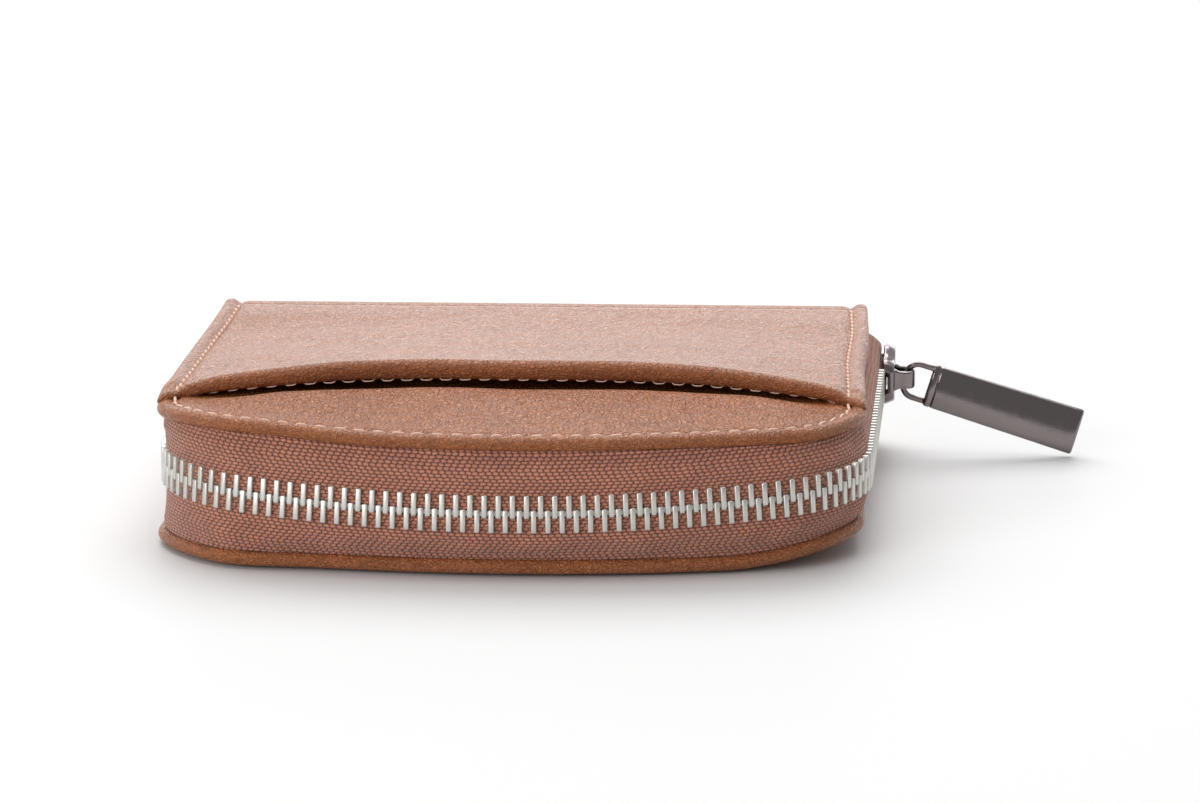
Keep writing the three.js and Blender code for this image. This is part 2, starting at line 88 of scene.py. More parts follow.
BEAD = 1.1  # radius of the covers' turned edges
SHEET = 1.4  # thickness of a cover away from its edge
STITCH_INSET = 2.75  # stitch line in from the leather's edge
STITCH_GROOVE = 0.45
COVER_SWELL = 2.3  # how far the top cover swells in front of its pocket
COVER_THIN = (3.2, 5.5)  # distances in from its edge over which a cover thins
JOIN_Y = 46.0  # where the covers pass into the spine
LEFT_DRAWN = 3.0  # the left side is drawn in by this towards the spine
LEFT_BULGE = 0.7  # and bulges by this near the front
RIGHT_DRAWN = 1.1
LEFT_RISE = 1.1  # the top cover's left front corner stands up by this
RIGHT_RISE = 0.35
MIDDLE_DIP = 0.2
FLOOR_RISE = 2.9  # the bottom cover's right front corner stands off the table by this
FRONT_RISE = 0.3
LEFT_SPREAD = 2.1  # its left front corner reaches forward by this
POCKET_SIDE_Y = -26.5  # the pocket's mouth near its ends
POCKET_SWEEP = 4.6  # how far back the mouth's middle is
POCKET_HORN = 2.4  # how far forward its very ends run
POCKET_LIFT = 3.4
POCKET_SHEET = 1.2
POCKET_MIDDLE = COVER_TOP + 0.15 + POCKET_SHEET / 2  # height where it lies flat on the cover
POCKET_BEAD = 0.95
HEM_RADIUS = 1.6
HEM_DEPTH = 3.2

TOOTH_PITCH = 2.15
TOOTH_WIDTH = 0.85
TOOTH_LENGTH = 3.6
TOOTH_OVERLAP = 0.65
TOOTH_HALF_DEPTH = 1.35
NUB_SIZE = (1.95, 1.6, 0.66)  # the nub on a tooth's tip: along the zip, out and up
TEETH_REAR_Y = 42.0  # where the teeth begin on the left side
TAPE_EDGE = 0.55  # the tape ends this far from the chain's middle
TAPE_HALF = 0.33  # half of its thickness


# ---- Small mesh tools ----
def smoothstep(low, high, value):
    t = np.clip((value - low) / (high - low), 0, 1)
    return t * t * (3 - 2 * t)


def falling(low, high, value):
    """1 below low, 0 above high."""
    return 1 - smoothstep(low, high, value)


def hump(value, centre, width):
    """1 at the centre, and less and less on both sides of it."""
    return np.exp(-(((value - centre) / width) ** 2))


def points_from(*parts):
    """Points from their coordinates, given one or two at a time."""
    return np.column_stack(parts)


def grid_quads(rows, columns, wrap=False):
    """Quads of a grid of points stored row by row; wrap joins the last row to the first."""
    r = np.arange(rows if wrap else rows - 1)[:, None]
    c = np.arange(columns - 1)[None, :]
    nxt = (r + 1) % rows
    quads = np.stack(
        [r * columns + c, r * columns + c + 1, nxt * columns + c + 1, nxt * columns + c], -1
    )
    return quads.reshape(-1, 4)


def distinct(points):
    """Which points to keep where some lie on each other, and each point's place among those."""
    _, kept, place = np.unique(np.round(points, 4), axis=0, return_index=True, return_inverse=True)
    return kept, place.reshape(-1)


def weld(points, faces):
    """Joins points that lie on each other and drops faces that this leaves without area."""
    first, place = distinct(points)
    kept = []
    for face in faces:
        ring = []
        for i in place[np.asarray(face)]:
            if i not in ring:
                ring.append(int(i))
        if len(ring) > 2:
            kept.append(ring)
    return points[first], kept


def piece(name, points, faces, finish, slot, uv=None):
    """A smooth mesh object with a finish. uv is a map's name and its coordinates at each point."""
    mesh = bpy.data.meshes.new(name)
    mesh.from_pydata((np.asarray(points, float) * MM).tolist(), [], [list(map(int, f)) for f in faces])
    mesh.materials.append(finish)
    tidy = bmesh.new()
    tidy.from_mesh(mesh)
    bmesh.ops.recalc_face_normals(tidy, faces=tidy.faces)
    tidy.to_mesh(mesh)
    tidy.free()
    mesh.polygons.foreach_set("use_smooth", [True] * len(mesh.polygons))
    if uv:
        layer = mesh.uv_layers.new(name=uv[0])
        corner_points = np.empty(len(mesh.loops), int)
        mesh.loops.foreach_get("vertex_index", corner_points)
        layer.data.foreach_set("uv", np.asarray(uv[1], float)[corner_points].ravel())
    thing = bpy.data.objects.new(name, mesh)
    bpy.context.scene.collection.objects.link(thing)
    return thing


def shell(flat_faces, top, bottom):
    """Closes two surfaces over the same flat faces into one skin. They may meet along an edge."""
    count = len(top)
    faces = [list(f) for f in flat_faces]
    edges = {}
    for f in faces:
        for a, b in zip(f, f[1:] + f[:1]):
            edges[(a, b)] = edges.get((a, b), 0) + 1
    under = [[i + count for i in reversed(f)] for f in faces]
    sides = [[b, a, a + count, b + count] for (a, b) in edges if (b, a) not in edges]
    return weld(np.vstack([top, bottom]), faces + under + sides)


def slab(xy, faces, top, bottom):
    """A closed skin between two heights over the same plan."""
    return shell(faces, points_from(xy, top), points_from(xy, bottom))


def loft(rings):
    """Points and faces of a tube through closed rings of points, capped at both ends."""
    rings = np.asarray(rings)
    count, sides = rings.shape[:2]
    grid = grid_quads(sides, count, wrap=True)
    faces = ((grid % count) * sides + grid // count).tolist()
    faces.append(list(range(sides))[::-1])
    faces.append([(count - 1) * sides + i for i in range(sides)])
    return rings.reshape(-1, 3), faces


def merged(parts):
    """Points and faces of several parts as one mesh."""
    points, faces, offset = [], [], 0
    for part_points, part_faces in parts:
        points.append(part_points)
        faces += [[i + offset for i in f] for f in part_faces]
        offset += len(part_points)
    return np.vstack(points), faces


def roll(distance, radius):
    """Half the thickness of a rolled edge at a distance in from it."""
    short = np.clip(radius - distance, 0, radius)
    return np.sqrt(np.maximum(radius * radius - short * short, 0))


def rim_steps(radius, reach, around=7, beyond=12):
    """Distances in from a rolled edge: close round the roll, then even."""
    near = radius * (1 - np.cos(np.linspace(0, math.pi / 2, around)))
    return np.concatenate([near, np.linspace(radius, reach, beyond)[1:]])


def ripple(places, size, height, seed):
    """Soft unevenness at places of one to three coordinates, the same at each run."""
    places = np.asarray(places, float).reshape(len(places), -1)
    places = np.pad(places, ((0, 0), (0, 3 - places.shape[1])))
    shift = Vector((seed, 2 * seed, 3 * seed))
    return height * np.array([noise.noise(Vector(p) / size + shift) for p in places])


# ---- The purse's outline ----
class PlanHalf:
    """Half of a line round the front and a side: half a bowed front, a corner and a straight side
    that leans outwards by the flare."""

    def __init__(self, angle, flare):
        self.angle, self.flare = angle, flare
        self.side_angle = math.pi / 2 - flare
        self.x = (FRONT_RADIUS - CORNER_RADIUS) * math.sin(angle)
        self.y = ZIP_FRONT_Y + FRONT_RADIUS - (FRONT_RADIUS - CORNER_RADIUS) * math.cos(angle)
        self.front_run = FRONT_RADIUS * angle
        self.corner_end = self.front_run + CORNER_RADIUS * (self.side_angle - angle)

    def place(self, run):
        """Plan coordinates and direction of travel at arc lengths from the middle of the front."""
        front = run <= self.front_run
        round_corner = self.angle + (run - self.front_run) / CORNER_RADIUS
        turn = np.where(front, run / FRONT_RADIUS, np.minimum(round_corner, self.side_angle))
        past = np.maximum(0, run - self.corner_end)
        sin, cos = np.sin(turn), np.cos(turn)
        x = np.where(front, FRONT_RADIUS * sin, self.x + CORNER_RADIUS * sin + past * cos)
        y = np.where(
            front,
            ZIP_FRONT_Y + FRONT_RADIUS * (1 - cos),
            self.y - CORNER_RADIUS * cos + past * sin,
        )
        return x, y, sin, cos

    def run_to(self, y):
        """Arc length at which the side reaches y."""
        start = self.y - CORNER_RADIUS * math.cos(self.side_angle)
        return self.corner_end + (y - start) / math.cos(self.flare)


COVER_SIDE = PlanHalf(COVER_ANGLE, 0)
COVER_LINE = (COVER_SIDE, COVER_SIDE)
ZIP_LINE = (PlanHalf(ZIP_ANGLE, 0), PlanHalf(ZIP_ANGLE, FLARE))


def border(line, s, inset=0.0):
    """Plan points of a line at arc lengths s, + to the right, and their outward normals."""
    s = np.asarray(s, float)
    left, right = (half.place(np.abs(s)) for half in line)
    x, y, sin, cos = (np.where(s < 0, a, b) for a, b in zip(left, right))
    side = np.where(s < 0, -1.0, 1.0)
    normal = np.stack([side * sin, -cos], -1)
    return np.stack([side * x, y], -1) - inset * normal, normal


COVER_RUN = COVER_SIDE.run_to(JOIN_Y)
OUTLINE = border(COVER_LINE, np.linspace(-COVER_RUN - 8, COVER_RUN + 8, 900), COVER_INSET)[0]


def edge_distance(xy):
    """Distance of plan points in from the covers' edge, front and sides only."""
    found = np.empty(len(xy))
    for start in range(0, len(xy), 2000):
        part = xy[start:start + 2000]
        gap = part[:, None, :] - OUTLINE[None, :, :]
        found[start:start + 2000] = np.sqrt((gap ** 2).sum(-1)).min(1)
    return found


def left_drawn(y):
    """How far the soft left side is drawn in, more and more towards the spine."""
    return LEFT_DRAWN * smoothstep(-30, 58, y)


def settle(points):
    """The sag of a soft purse in plan: its left side is drawn in towards the spine, but bulges near
    the front corner, and its right side is drawn in a little at the front."""
    points = np.array(points, float)
    x, y = points[:, 0], points[:, 1]
    side = smoothstep(0.25, 1.0, np.abs(x) / COVER_HALF)
    left = left_drawn(y) - LEFT_BULGE * hump(y, -28, 9)
    right = RIGHT_DRAWN * falling(-5, 32, y) * smoothstep(-50, -35, y)
    points[:, 0] += side * np.where(x < 0, left, -right)
    return points


def cover_plan(rear_y, insets, columns=260, first_inset=COVER_INSET):
    """Plan mesh of a cover: a strip that follows its edge and a patch that fills the rest. Returns
    points, distances in from the edge, and faces."""
    end = COVER_SIDE.run_to(rear_y)
    s = np.linspace(-end, end, columns + 1)
    strip = np.array([border(COVER_LINE, s, first_inset + d)[0] for d in insets])
    depth = np.repeat(insets, columns + 1)
    points = strip.reshape(-1, 2)
    faces = [list(f) for f in grid_quads(len(insets), columns + 1)]

    inner = strip[-1]
    corner = int(np.argmin(np.abs(s + (COVER_SIDE.front_run + COVER_SIDE.corner_end) / 2)))
    across, back = columns - 2 * corner, corner
    front = inner[corner:columns - corner + 1]
    left = inner[corner::-1]
    right = inner[columns - corner:]
    rear = np.linspace(inner[0], inner[-1], across + 1)
    u = np.linspace(0, 1, across + 1)[None, :, None]
    v = np.linspace(0, 1, back + 1)[:, None, None]
    patch = (
        (1 - v) * front[None] + v * rear[None] + (1 - u) * left[:, None] + u * right[:, None]
        - (1 - u) * (1 - v) * front[0] - u * (1 - v) * front[-1]
        - (1 - u) * v * rear[0] - u * v * rear[-1]
    ).reshape(-1, 2)
    patch_depth = np.maximum(edge_distance(patch) - (first_inset - COVER_INSET), insets[-1])
    offset = len(points)
    faces += [list(f + offset) for f in grid_quads(back + 1, across + 1)]
    points = np.vstack([points, patch])
    depth = np.concatenate([depth, patch_depth])
    kept, place = distinct(points)
    return points[kept], depth[kept], [[int(i) for i in place[f]] for f in faces]


# ---- Heights of the leather ----
def groove(depth):
    """Depth of the furrow that a stitch line pulls into the leather."""
    return STITCH_GROOVE * hump(depth, STITCH_INSET, 0.65)


def corner_lift(xy):
    """The top cover stands a little higher at its front corners, most at the left one."""
    x, y = xy[:, 0], xy[:, 1]
    left = LEFT_RISE * smoothstep(18, 46, -x) * (1 - 0.6 * smoothstep(49, 57, -x))
    right = RIGHT_RISE * smoothstep(46, 55, x)
    return (left + right) * falling(-40, -16, y) - MIDDLE_DIP * falling(0, 40, np.abs(x))


def rim_lift(xy, depth):
    """The part of the corners' lift that reaches in from the top cover's edge."""
    return corner_lift(xy) * falling(0, 16, depth)


def rolled_edge(depth):
    """Outer face of a flat top cover with its turned edge, without its lift."""
    return COVER_TOP + roll(depth, BEAD) - BEAD - groove(depth)


def cover_top_height(xy, depth):
    """Outer face of the top cover. It swells towards the pocket's mouth and dips under it."""
    ahead = mouth_y(xy[:, 0]) - xy[:, 1]
    swell = COVER_SWELL * smoothstep(STITCH_INSET - 1, 24, depth) * smoothstep(-2.0, 5.5, ahead)
    return rolled_edge(depth) + swell + rim_lift(xy, depth)


def mouth_y(x):
    """The pocket's mouth sweeps back in the middle, and forward onto the cover's edge at its ends."""
    share = np.abs(np.asarray(x, float)) / COVER_HALF
    return POCKET_SIDE_Y + POCKET_SWEEP * (1 - share ** 2) - POCKET_HORN * smoothstep(0.93, 1.0, share)


def pocket_middle(x, behind):
    """Height of the middle of the pocket's leather, a distance behind its mouth."""
    share = behind / (SPINE_Y - mouth_y(x))
    arch = np.clip(1 - np.abs(x / COVER_HALF) ** 3, 0, 1)
    lift = POCKET_LIFT * arch * (1 - np.clip(share, 0, 1)) ** 2.2
    crease = 0.35 * arch * hump(behind, HEM_DEPTH + 1.2, 1.1)
    tuck = 0.75 * smoothstep(48, 55, np.abs(x)) * falling(0, 7, behind)
    return POCKET_MIDDLE + lift - crease - tuck


def thick_side(side):
    """Half of the leather's thickness near the rolled edges at the pocket's and the spine's sides."""
    return POCKET_BEAD + (POCKET_SHEET / 2 - POCKET_BEAD) * smoothstep(1.6, 3.0, side)


def pocket_half(x, behind):
    """Half of the pocket's thickness: a rolled hem at the mouth and rolled edges at the sides."""
    arch = np.clip(1 - np.abs(x / COVER_HALF) ** 4, 0, 1)
    hem_radius = POCKET_BEAD + (HEM_RADIUS - POCKET_BEAD) * arch
    fade = smoothstep(HEM_DEPTH - 1.0, HEM_DEPTH + 0.6, behind)
    body = hem_radius * (1 - fade) + POCKET_SHEET / 2 * fade
    side = COVER_HALF - np.abs(x)
    body = np.maximum(body, thick_side(side))
    a = np.clip(1 - behind / hem_radius, 0, 1)
    b = np.clip(1 - side / POCKET_BEAD, 0, 1)
    return body * np.sqrt(np.clip(1 - a * a - b * b, 0, 1))


def pocket_top_height(x, behind):
    side = COVER_HALF - np.abs(x)
    return pocket_middle(x, behind) + pocket_half(x, behind) - groove(side)


def floor_lift(xy, depth):
    """How far the bottom cover's edge curls off the table, most at its right front corner."""
    x, y = xy[:, 0], xy[:, 1]
    right = smoothstep(33, 57, x) * falling(-25, 35, y)
    rise = FRONT_RISE * falling(-45, -10, y) + FLOOR_RISE * right
    return rise * falling(0, 18, depth) ** 1.4


def spread(points):
    """The bottom cover lies flatter at its left front corner, so that corner reaches further out."""
    points = settle(points)
    x, y = points[:, 0], points[:, 1]
    points[:, 1] -= LEFT_SPREAD * hump(x, -43, 9) * falling(-50, -22, y)
    return points


# ---- Materials ----
class Nodes:
    """The node tree of a material or world, with short calls for the nodes that they share."""

    def __init__(self, owner, shader):
        owner.use_nodes = True
        self.tree = owner.node_tree
        self.shader = self.tree.nodes[shader]

    def node(self, kind, inputs=None, **settings):
        made = self.tree.nodes.new(kind)
        for name, value in settings.items():
            setattr(made, name, value)
        for name, value in (inputs or {}).items():
            self.feed(value, made.inputs[name])
        return made

    def feed(self, value, socket):
        if isinstance(value, bpy.types.NodeSocket):
            self.tree.links.new(value, socket)
        else:
            socket.default_value = value

    def shade(self, **sockets):
        """Feeds the shader's own sockets. A colour has three numbers."""
        for socket, value in sockets.items():
            value = (*value, 1) if isinstance(value, tuple) else value
            self.feed(value, self.shader.inputs[socket.replace("_", " ")])

    def place_mm(self, stretch=(1, 1, 1)):
        """Object coordinates in millimetres."""
        coordinates = self.node("ShaderNodeTexCoord").outputs["Object"]
        scale = tuple(s / MM for s in stretch)
        return self.node("ShaderNodeMapping", {"Vector": coordinates, "Scale": scale}).outputs[0]

    def noise(self, place, scale, detail=3.0, roughness=0.5):
        values = {"Vector": place, "Scale": scale, "Detail": detail, "Roughness": roughness}
        return self.node("ShaderNodeTexNoise", values).outputs["Fac"]

    def cells(self, place, scale):
        """Distance to the edge of uneven cells."""
        values = {"Vector": place, "Scale": scale}
        made = self.node("ShaderNodeTexVoronoi", values, feature="DISTANCE_TO_EDGE")
        return made.outputs["Distance"]

    def ramp(self, value, low, high, to_low=0.0, to_high=1.0, **settings):
        values = {"Value": value, "From Min": low, "From Max": high, "To Min": to_low, "To Max": to_high}
        return self.node("ShaderNodeMapRange", values, **settings).outputs["Result"]

    def math(self, kind, a, b=0.0):
        made = self.node("ShaderNodeMath", operation=kind)
        self.feed(a, made.inputs[0])
        self.feed(b, made.inputs[1])
        return made.outputs[0]

    def mix(self, share, a, b):
        made = self.node("ShaderNodeMix", data_type="RGBA")
        self.feed(share, made.inputs["Factor"])
        for value, socket in ((a, made.inputs["A"]), (b, made.inputs["B"])):
            self.feed((*value, 1) if isinstance(value, tuple) else value, socket)
        return made.outputs["Result"]

    def bump(self, height, distance_mm, strength=1.0, base=None):
        values = {"Height": height, "Distance": distance_mm * MM, "Strength": strength}
        if base is not None:
            values["Normal"] = base
        return self.node("ShaderNodeBump", values).outputs["Normal"]


class Finish(Nodes):
    """A material, with its shader's own values."""

    def __init__(self, name, color, roughness, metallic=0.0, **sockets):
        self.material = bpy.data.materials.new(name)
        super().__init__(self.material, "Principled BSDF")
        self.shade(Base_Color=color, Roughness=roughness, Metallic=metallic, **sockets)


def shaded(color, share):
    return tuple(c * share for c in color)


def leather(name, color, painted_shade_color, roughness=0.29, grain=0.85, depth=0.16):
    """Fine pebbled leather: uneven cells that are longest from front to rear, wrinkles that wander
    across them and slow changes of colour. Painted shade darkens the wrinkles' troughs and the
    creases between the cells."""
    f = Finish(name, color, roughness, Specular_IOR_Level=0.38)
    place = f.place_mm((1.1, 0.55, 1.7))
    wander = f.node("ShaderNodeTexNoise", {"Vector": place, "Scale": 1.1, "Detail": 3.0})
    bent = f.node("ShaderNodeVectorMath", operation="MULTIPLY_ADD")
    f.feed(wander.outputs["Color"], bent.inputs[0])
    bent.inputs[1].default_value = (0.9, 0.9, 0.9)
    f.feed(place, bent.inputs[2])
    bent = bent.outputs[0]
    pebbles = f.ramp(f.cells(bent, 1 / grain), 0.0, 0.28)
    fine = f.ramp(f.cells(bent, 2.1 / grain), 0.0, 0.3)
    wrinkles = f.noise(f.place_mm((0.9, 0.6, 1.5)), 1.0, 4, 0.62)
    height = f.math("ADD", pebbles, f.math("MULTIPLY", fine, 0.4))
    normal = f.bump(wrinkles, 0.3, 1.0)
    normal = f.bump(height, depth, 1.0, normal)
    slow = f.noise(place, 0.06, 3, 0.6)
    tone = f.mix(f.ramp(slow, 0.35, 0.68), color, shaded(color, 0.86))
    # Painted shade: the wrinkles' troughs are drawn darker.
    tone = f.mix(f.ramp(wrinkles, 0.34, 0.56, 0.6, 0.0), tone, painted_shade_color)
    # Painted shade: the creases between the pebbles are drawn darker.
    crease = f.ramp(pebbles, 0.0, 0.9, 0.5, 0.0)
    uneven = f.ramp(f.noise(place, 0.8, 3), 0.3, 0.7, roughness - 0.06, roughness + 0.08)
    f.shade(Normal=normal, Base_Color=f.mix(crease, tone, painted_shade_color), Roughness=uneven)
    return f.material


def woven_tape(name, color, painted_shade_color, row=0.53, yarn=1.02, band=2.12):
    """Zip tape: plump yarns in rows. Each row is shifted on the last, and the shift turns round from
    one band to the next, which makes herringbone. The gaps between the yarns are darkened with
    painted shade. Its UV map is in millimetres."""
    f = Finish(name, color, 0.75, Sheen_Weight=0.3, Sheen_Roughness=0.4, Specular_IOR_Level=0.35)
    split = f.node("ShaderNodeSeparateXYZ")
    f.feed(f.node("ShaderNodeUVMap", uv_map="tape_mm").outputs["UV"], split.inputs[0])
    along, across = split.outputs["X"], split.outputs["Y"]
    place = f.place_mm()
    wobble = f.ramp(f.noise(place, 0.9, 2), 0.0, 1.0, -0.16, 0.16)
    across = f.math("ADD", across, wobble)
    rows = f.math("DIVIDE", across, row)
    row_number = f.math("FLOOR", rows)
    in_row = f.math("SUBTRACT", f.math("FRACT", rows), 0.5)
    half_bands = f.math("FRACT", f.math("DIVIDE", across, 2 * band))
    turn = f.ramp(f.math("LESS_THAN", half_bands, 0.5), 0, 1, -0.36, 0.36)
    shift = f.math("MULTIPLY", row_number, turn)
    yarns = f.math("ADD", f.math("DIVIDE", f.math("ADD", along, wobble), yarn), shift)
    in_yarn = f.math("SUBTRACT", f.math("FRACT", yarns), 0.5)
    square = f.math("MULTIPLY", f.math("POWER", f.math("ABSOLUTE", in_row), 2.0), 3.0)
    length = f.math("MULTIPLY", f.math("POWER", f.math("ABSOLUTE", in_yarn), 2.5), 5.0)
    plump = f.math("SUBTRACT", 1.0, f.math("ADD", square, length))
    plump = f.math("POWER", f.math("MAXIMUM", plump, 0.0), 0.6)
    fibres = f.noise(f.place_mm((1.0, 1.0, 4.0)), 4.0, 3)
    normal = f.bump(plump, 0.24, 1.0)
    normal = f.bump(fibres, 0.06, 0.6, normal)
    slow = f.mix(f.ramp(f.noise(place, 0.35, 3), 0.3, 0.7), shaded(color, 1.12), shaded(color, 0.82))
    tone = f.mix(f.ramp(fibres, 0.35, 0.7, 0.0, 0.4), slow, shaded(color, 1.5))
    # Painted shade: the gaps between the yarns are drawn dark.
    tone = f.mix(f.ramp(plump, 0.25, 0.85, 0.92, 0.0), tone, painted_shade_color)
    f.shade(Normal=normal, Base_Color=tone)
    return f.material


def cloth(name, color, painted_shade_color, pitch):
    """Fine twill: threads that run at a slant, with painted shade in the grooves between them."""
    f = Finish(name, color, 0.85, Sheen_Weight=0.2)
    waves = {"Vector": f.place_mm(), "Scale": 0.31 / pitch, "Distortion": 0.4, "Detail": 1.0}
    rib = f.node("ShaderNodeTexWave", waves, bands_direction="DIAGONAL").outputs["Fac"]
    # Painted shade: the twill's grooves are drawn darker.
    tone = f.mix(f.ramp(rib, 0.1, 0.7, 0.7, 0.0), color, painted_shade_color)
    f.shade(Base_Color=tone, Normal=f.bump(rib, 0.08, 0.8))
    return f.material


def thread(name, color):
    """Twisted sewing thread, with painted shade in the grooves of its twist."""
    f = Finish(name, color, 0.6, Sheen_Weight=0.2)
    values = {"Vector": f.place_mm(), "Scale": 1.2, "Distortion": 0.6}
    twist = f.node("ShaderNodeTexWave", values, bands_direction="DIAGONAL").outputs["Fac"]
    # Painted shade: the grooves of the twist are drawn darker.
    tone = f.mix(f.ramp(twist, 0.0, 0.6, 0.4, 0.0), color, shaded(color, 0.55))
    f.shade(Base_Color=tone, Normal=f.bump(twist, 0.06, 0.7))
    return f.material


def metal(name, color, roughness, scratch, worn):
    """Plated metal with fine scratches and small changes of polish."""
    f = Finish(name, color, roughness, 1.0)
    place = f.place_mm()
    lines = f.noise(f.place_mm((0.5, 4, 4)), 2.2, 5, 0.6)
    polish = f.ramp(f.noise(place, 0.5, 3), 0.3, 0.7, roughness - 0.04, roughness + 0.06)
    polish = f.math("ADD", polish, f.ramp(lines, 0.55, 0.8, 0.0, scratch))
    tone = f.mix(f.ramp(lines, 0.5, 0.8, 0.0, 0.5), color, worn)
    f.shade(Roughness=polish, Base_Color=tone, Normal=f.bump(lines, 0.012, 0.5))
    return f.material


# In the leathers, the tape, the lining and the board, the darker second colour is painted shade for
# their creases, troughs and grooves.
LEATHER = leather("tan_leather", (0.44, 0.15, 0.052), (0.19, 0.058, 0.02))
LEATHER_INNER = leather("lining_leather", (0.3, 0.13, 0.07), (0.14, 0.05, 0.03), 0.5, 1.1, 0.06)
TAPE = woven_tape("woven_tape", (0.44, 0.178, 0.115), (0.09, 0.03, 0.02))
LINING = cloth("twill_lining", (0.17, 0.085, 0.06), (0.07, 0.033, 0.024), 0.7)
THREAD = thread("beige_thread", (0.8, 0.52, 0.4))
TEETH = metal("satin_silver", (0.66, 0.64, 0.6), 0.38, 0.15, (0.42, 0.4, 0.37))
GUNMETAL = metal("gunmetal", (0.26, 0.225, 0.225), 0.11, 0.1, (0.2, 0.17, 0.17))
BOARD = cloth("stiffener_board", (0.32, 0.30, 0.27), (0.22, 0.2, 0.18), 1.1)


# ---- Covers ----
COVER_RIM = rim_steps(BEAD, 9, 8, 16)


def cover_thickness(depth):
    """A cover is as thick as its turned edge where that is folded under it, and thinner inside."""
    return SHEET + (2 * BEAD - SHEET) * falling(*COVER_THIN, depth)


def build_top_cover():
    xy, depth, faces = cover_plan(JOIN_Y, COVER_RIM)
    uneven = ripple(xy, 16, 0.4, 1) * smoothstep(2, 9, depth)
    lift = rim_lift(xy, depth)
    upper = cover_top_height(xy, depth) + uneven
    swell = upper - rolled_edge(depth) - lift
    under = np.where(depth < BEAD, BEAD + roll(depth, BEAD), cover_thickness(depth))
    lower = COVER_TOP - under + swell * smoothstep(3.2, 6, depth) * 0.8 + lift
    points, skin = slab(xy, faces, upper, lower)
    cover = piece("top_cover_leather", settle(points), skin, LEATHER, "leather")
    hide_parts("top_cover", "top_turned_edge")
    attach(cover, "lid")


def build_bottom_cover():
    xy, depth, faces = cover_plan(JOIN_Y, COVER_RIM)
    lift = floor_lift(xy, depth)
    lower = lift + BEAD - roll(depth, BEAD) + groove(depth)
    upper = lift + np.where(depth < BEAD, BEAD + roll(depth, BEAD), cover_thickness(depth))
    points, skin = slab(xy, faces, upper, lower)
    cover = piece("bottom_cover_leather", spread(points), skin, LEATHER, "leather")
    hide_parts("bottom_cover", "bottom_turned_edge")
    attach(cover, "base")


def across_steps(half, radius, reach, inner_count):
    """X positions from side to side, close together at both rolled edges."""
    near = rim_steps(radius, reach, 6, 9)
    inner = np.linspace(-half + reach, half - reach, inner_count)
    return np.concatenate([-half + near[:-1], inner, (half - near[:-1])[::-1]])


def build_pocket():
    x = across_steps(COVER_HALF, POCKET_BEAD, 6, 90)
    near = rim_steps(HEM_RADIUS, 7, 10, 16)
    rows = [points_from(x, mouth_y(x) + behind, 0 * x + behind) for behind in near]
    for share in np.linspace(0, 1, 50)[1:]:
        y = (mouth_y(x) + near[-1]) * (1 - share) + JOIN_Y * share
        rows.append(points_from(x, y, y - mouth_y(x)))
    grid = np.vstack(rows)
    xy, behind = grid[:, :2], grid[:, 2]
    side = COVER_HALF - np.abs(grid[:, 0])
    stretched = xy * (0.6, 1)
    uneven = ripple(stretched, 18, 0.5, 5) + ripple(stretched, 7, 0.12, 9)
    uneven *= smoothstep(1, 7, side) * falling(34, JOIN_Y, xy[:, 1])
    middle = pocket_middle(grid[:, 0], behind) + uneven
    half = pocket_half(grid[:, 0], behind)
    top = middle + half - groove(side) * (half > 0.3)
    points, skin = slab(xy, grid_quads(len(rows), len(x)), top, middle - half)
    pocket = piece("slip_pocket_leather", settle(points), skin, LEATHER, "leather")
    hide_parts("slip_pocket", "slip_pocket_hem")
    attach(pocket, "lid")


def build_spine():
    """One strip of leather from the pocket's rear edge, round both folds, to the bottom cover."""
    fold = 3.2
    half = POCKET_SHEET / 2
    top_z = POCKET_MIDDLE
    rear_y = SPINE_Y - half
    low_z = SHEET / 2
    arc = np.linspace(0, math.pi / 2, 9)[1:-1]
    turn_y = rear_y - fold
    path = [(y, top_z) for y in np.linspace(JOIN_Y, turn_y, 4)]
    path += [(turn_y + fold * math.sin(a), top_z - fold + fold * math.cos(a)) for a in arc]
    path += [(rear_y, z) for z in np.linspace(top_z - fold, low_z + fold, 28)]
    path += [(turn_y + fold * math.cos(a), low_z + fold - fold * math.sin(a)) for a in arc]
    path += [(y, low_z) for y in np.linspace(turn_y, JOIN_Y, 4)]
    path = np.array(path)
    along = np.gradient(path, axis=0)
    along /= np.linalg.norm(along, axis=1)[:, None]
    outward = points_from(-along[:, 1], along[:, 0])
    outward *= -1 if outward[len(path) // 2][0] < 0 else 1

    x = across_steps(COVER_HALF, POCKET_BEAD, 6, 60)
    side = COVER_HALF - np.abs(x)
    thick = np.where(side < POCKET_BEAD, roll(side, POCKET_BEAD), thick_side(side))
    rows_out, rows_in = [], []
    for (y, z), (ny, nz) in zip(path, outward):
        soft = 0.25 * math.sin(math.pi * np.clip((z - low_z) / (top_z - low_z), 0, 1))
        out = thick - groove(side) * (thick > 0.3) + soft * smoothstep(1, 9, side)
        rows_out.append(points_from(x, y + ny * out, z + nz * out))
        rows_in.append(points_from(x, y - ny * thick, z - nz * thick))
    points, skin = shell(grid_quads(len(path), len(x)), np.vstack(rows_out), np.vstack(rows_in))
    points[:, 2] = np.maximum(points[:, 2], 0)
    spine = piece("spine_leather", settle(points), skin, LEATHER, "leather")
    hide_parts("spine_lower", "spine_upper")
    bend_at_spine(spine)


def bend_at_spine(thing):
    """Bakes a piece's transform into its mesh."""
    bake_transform(thing)


# ---- Stitching ----
STITCH_RINGS = 7
STITCH_SIDES = 8


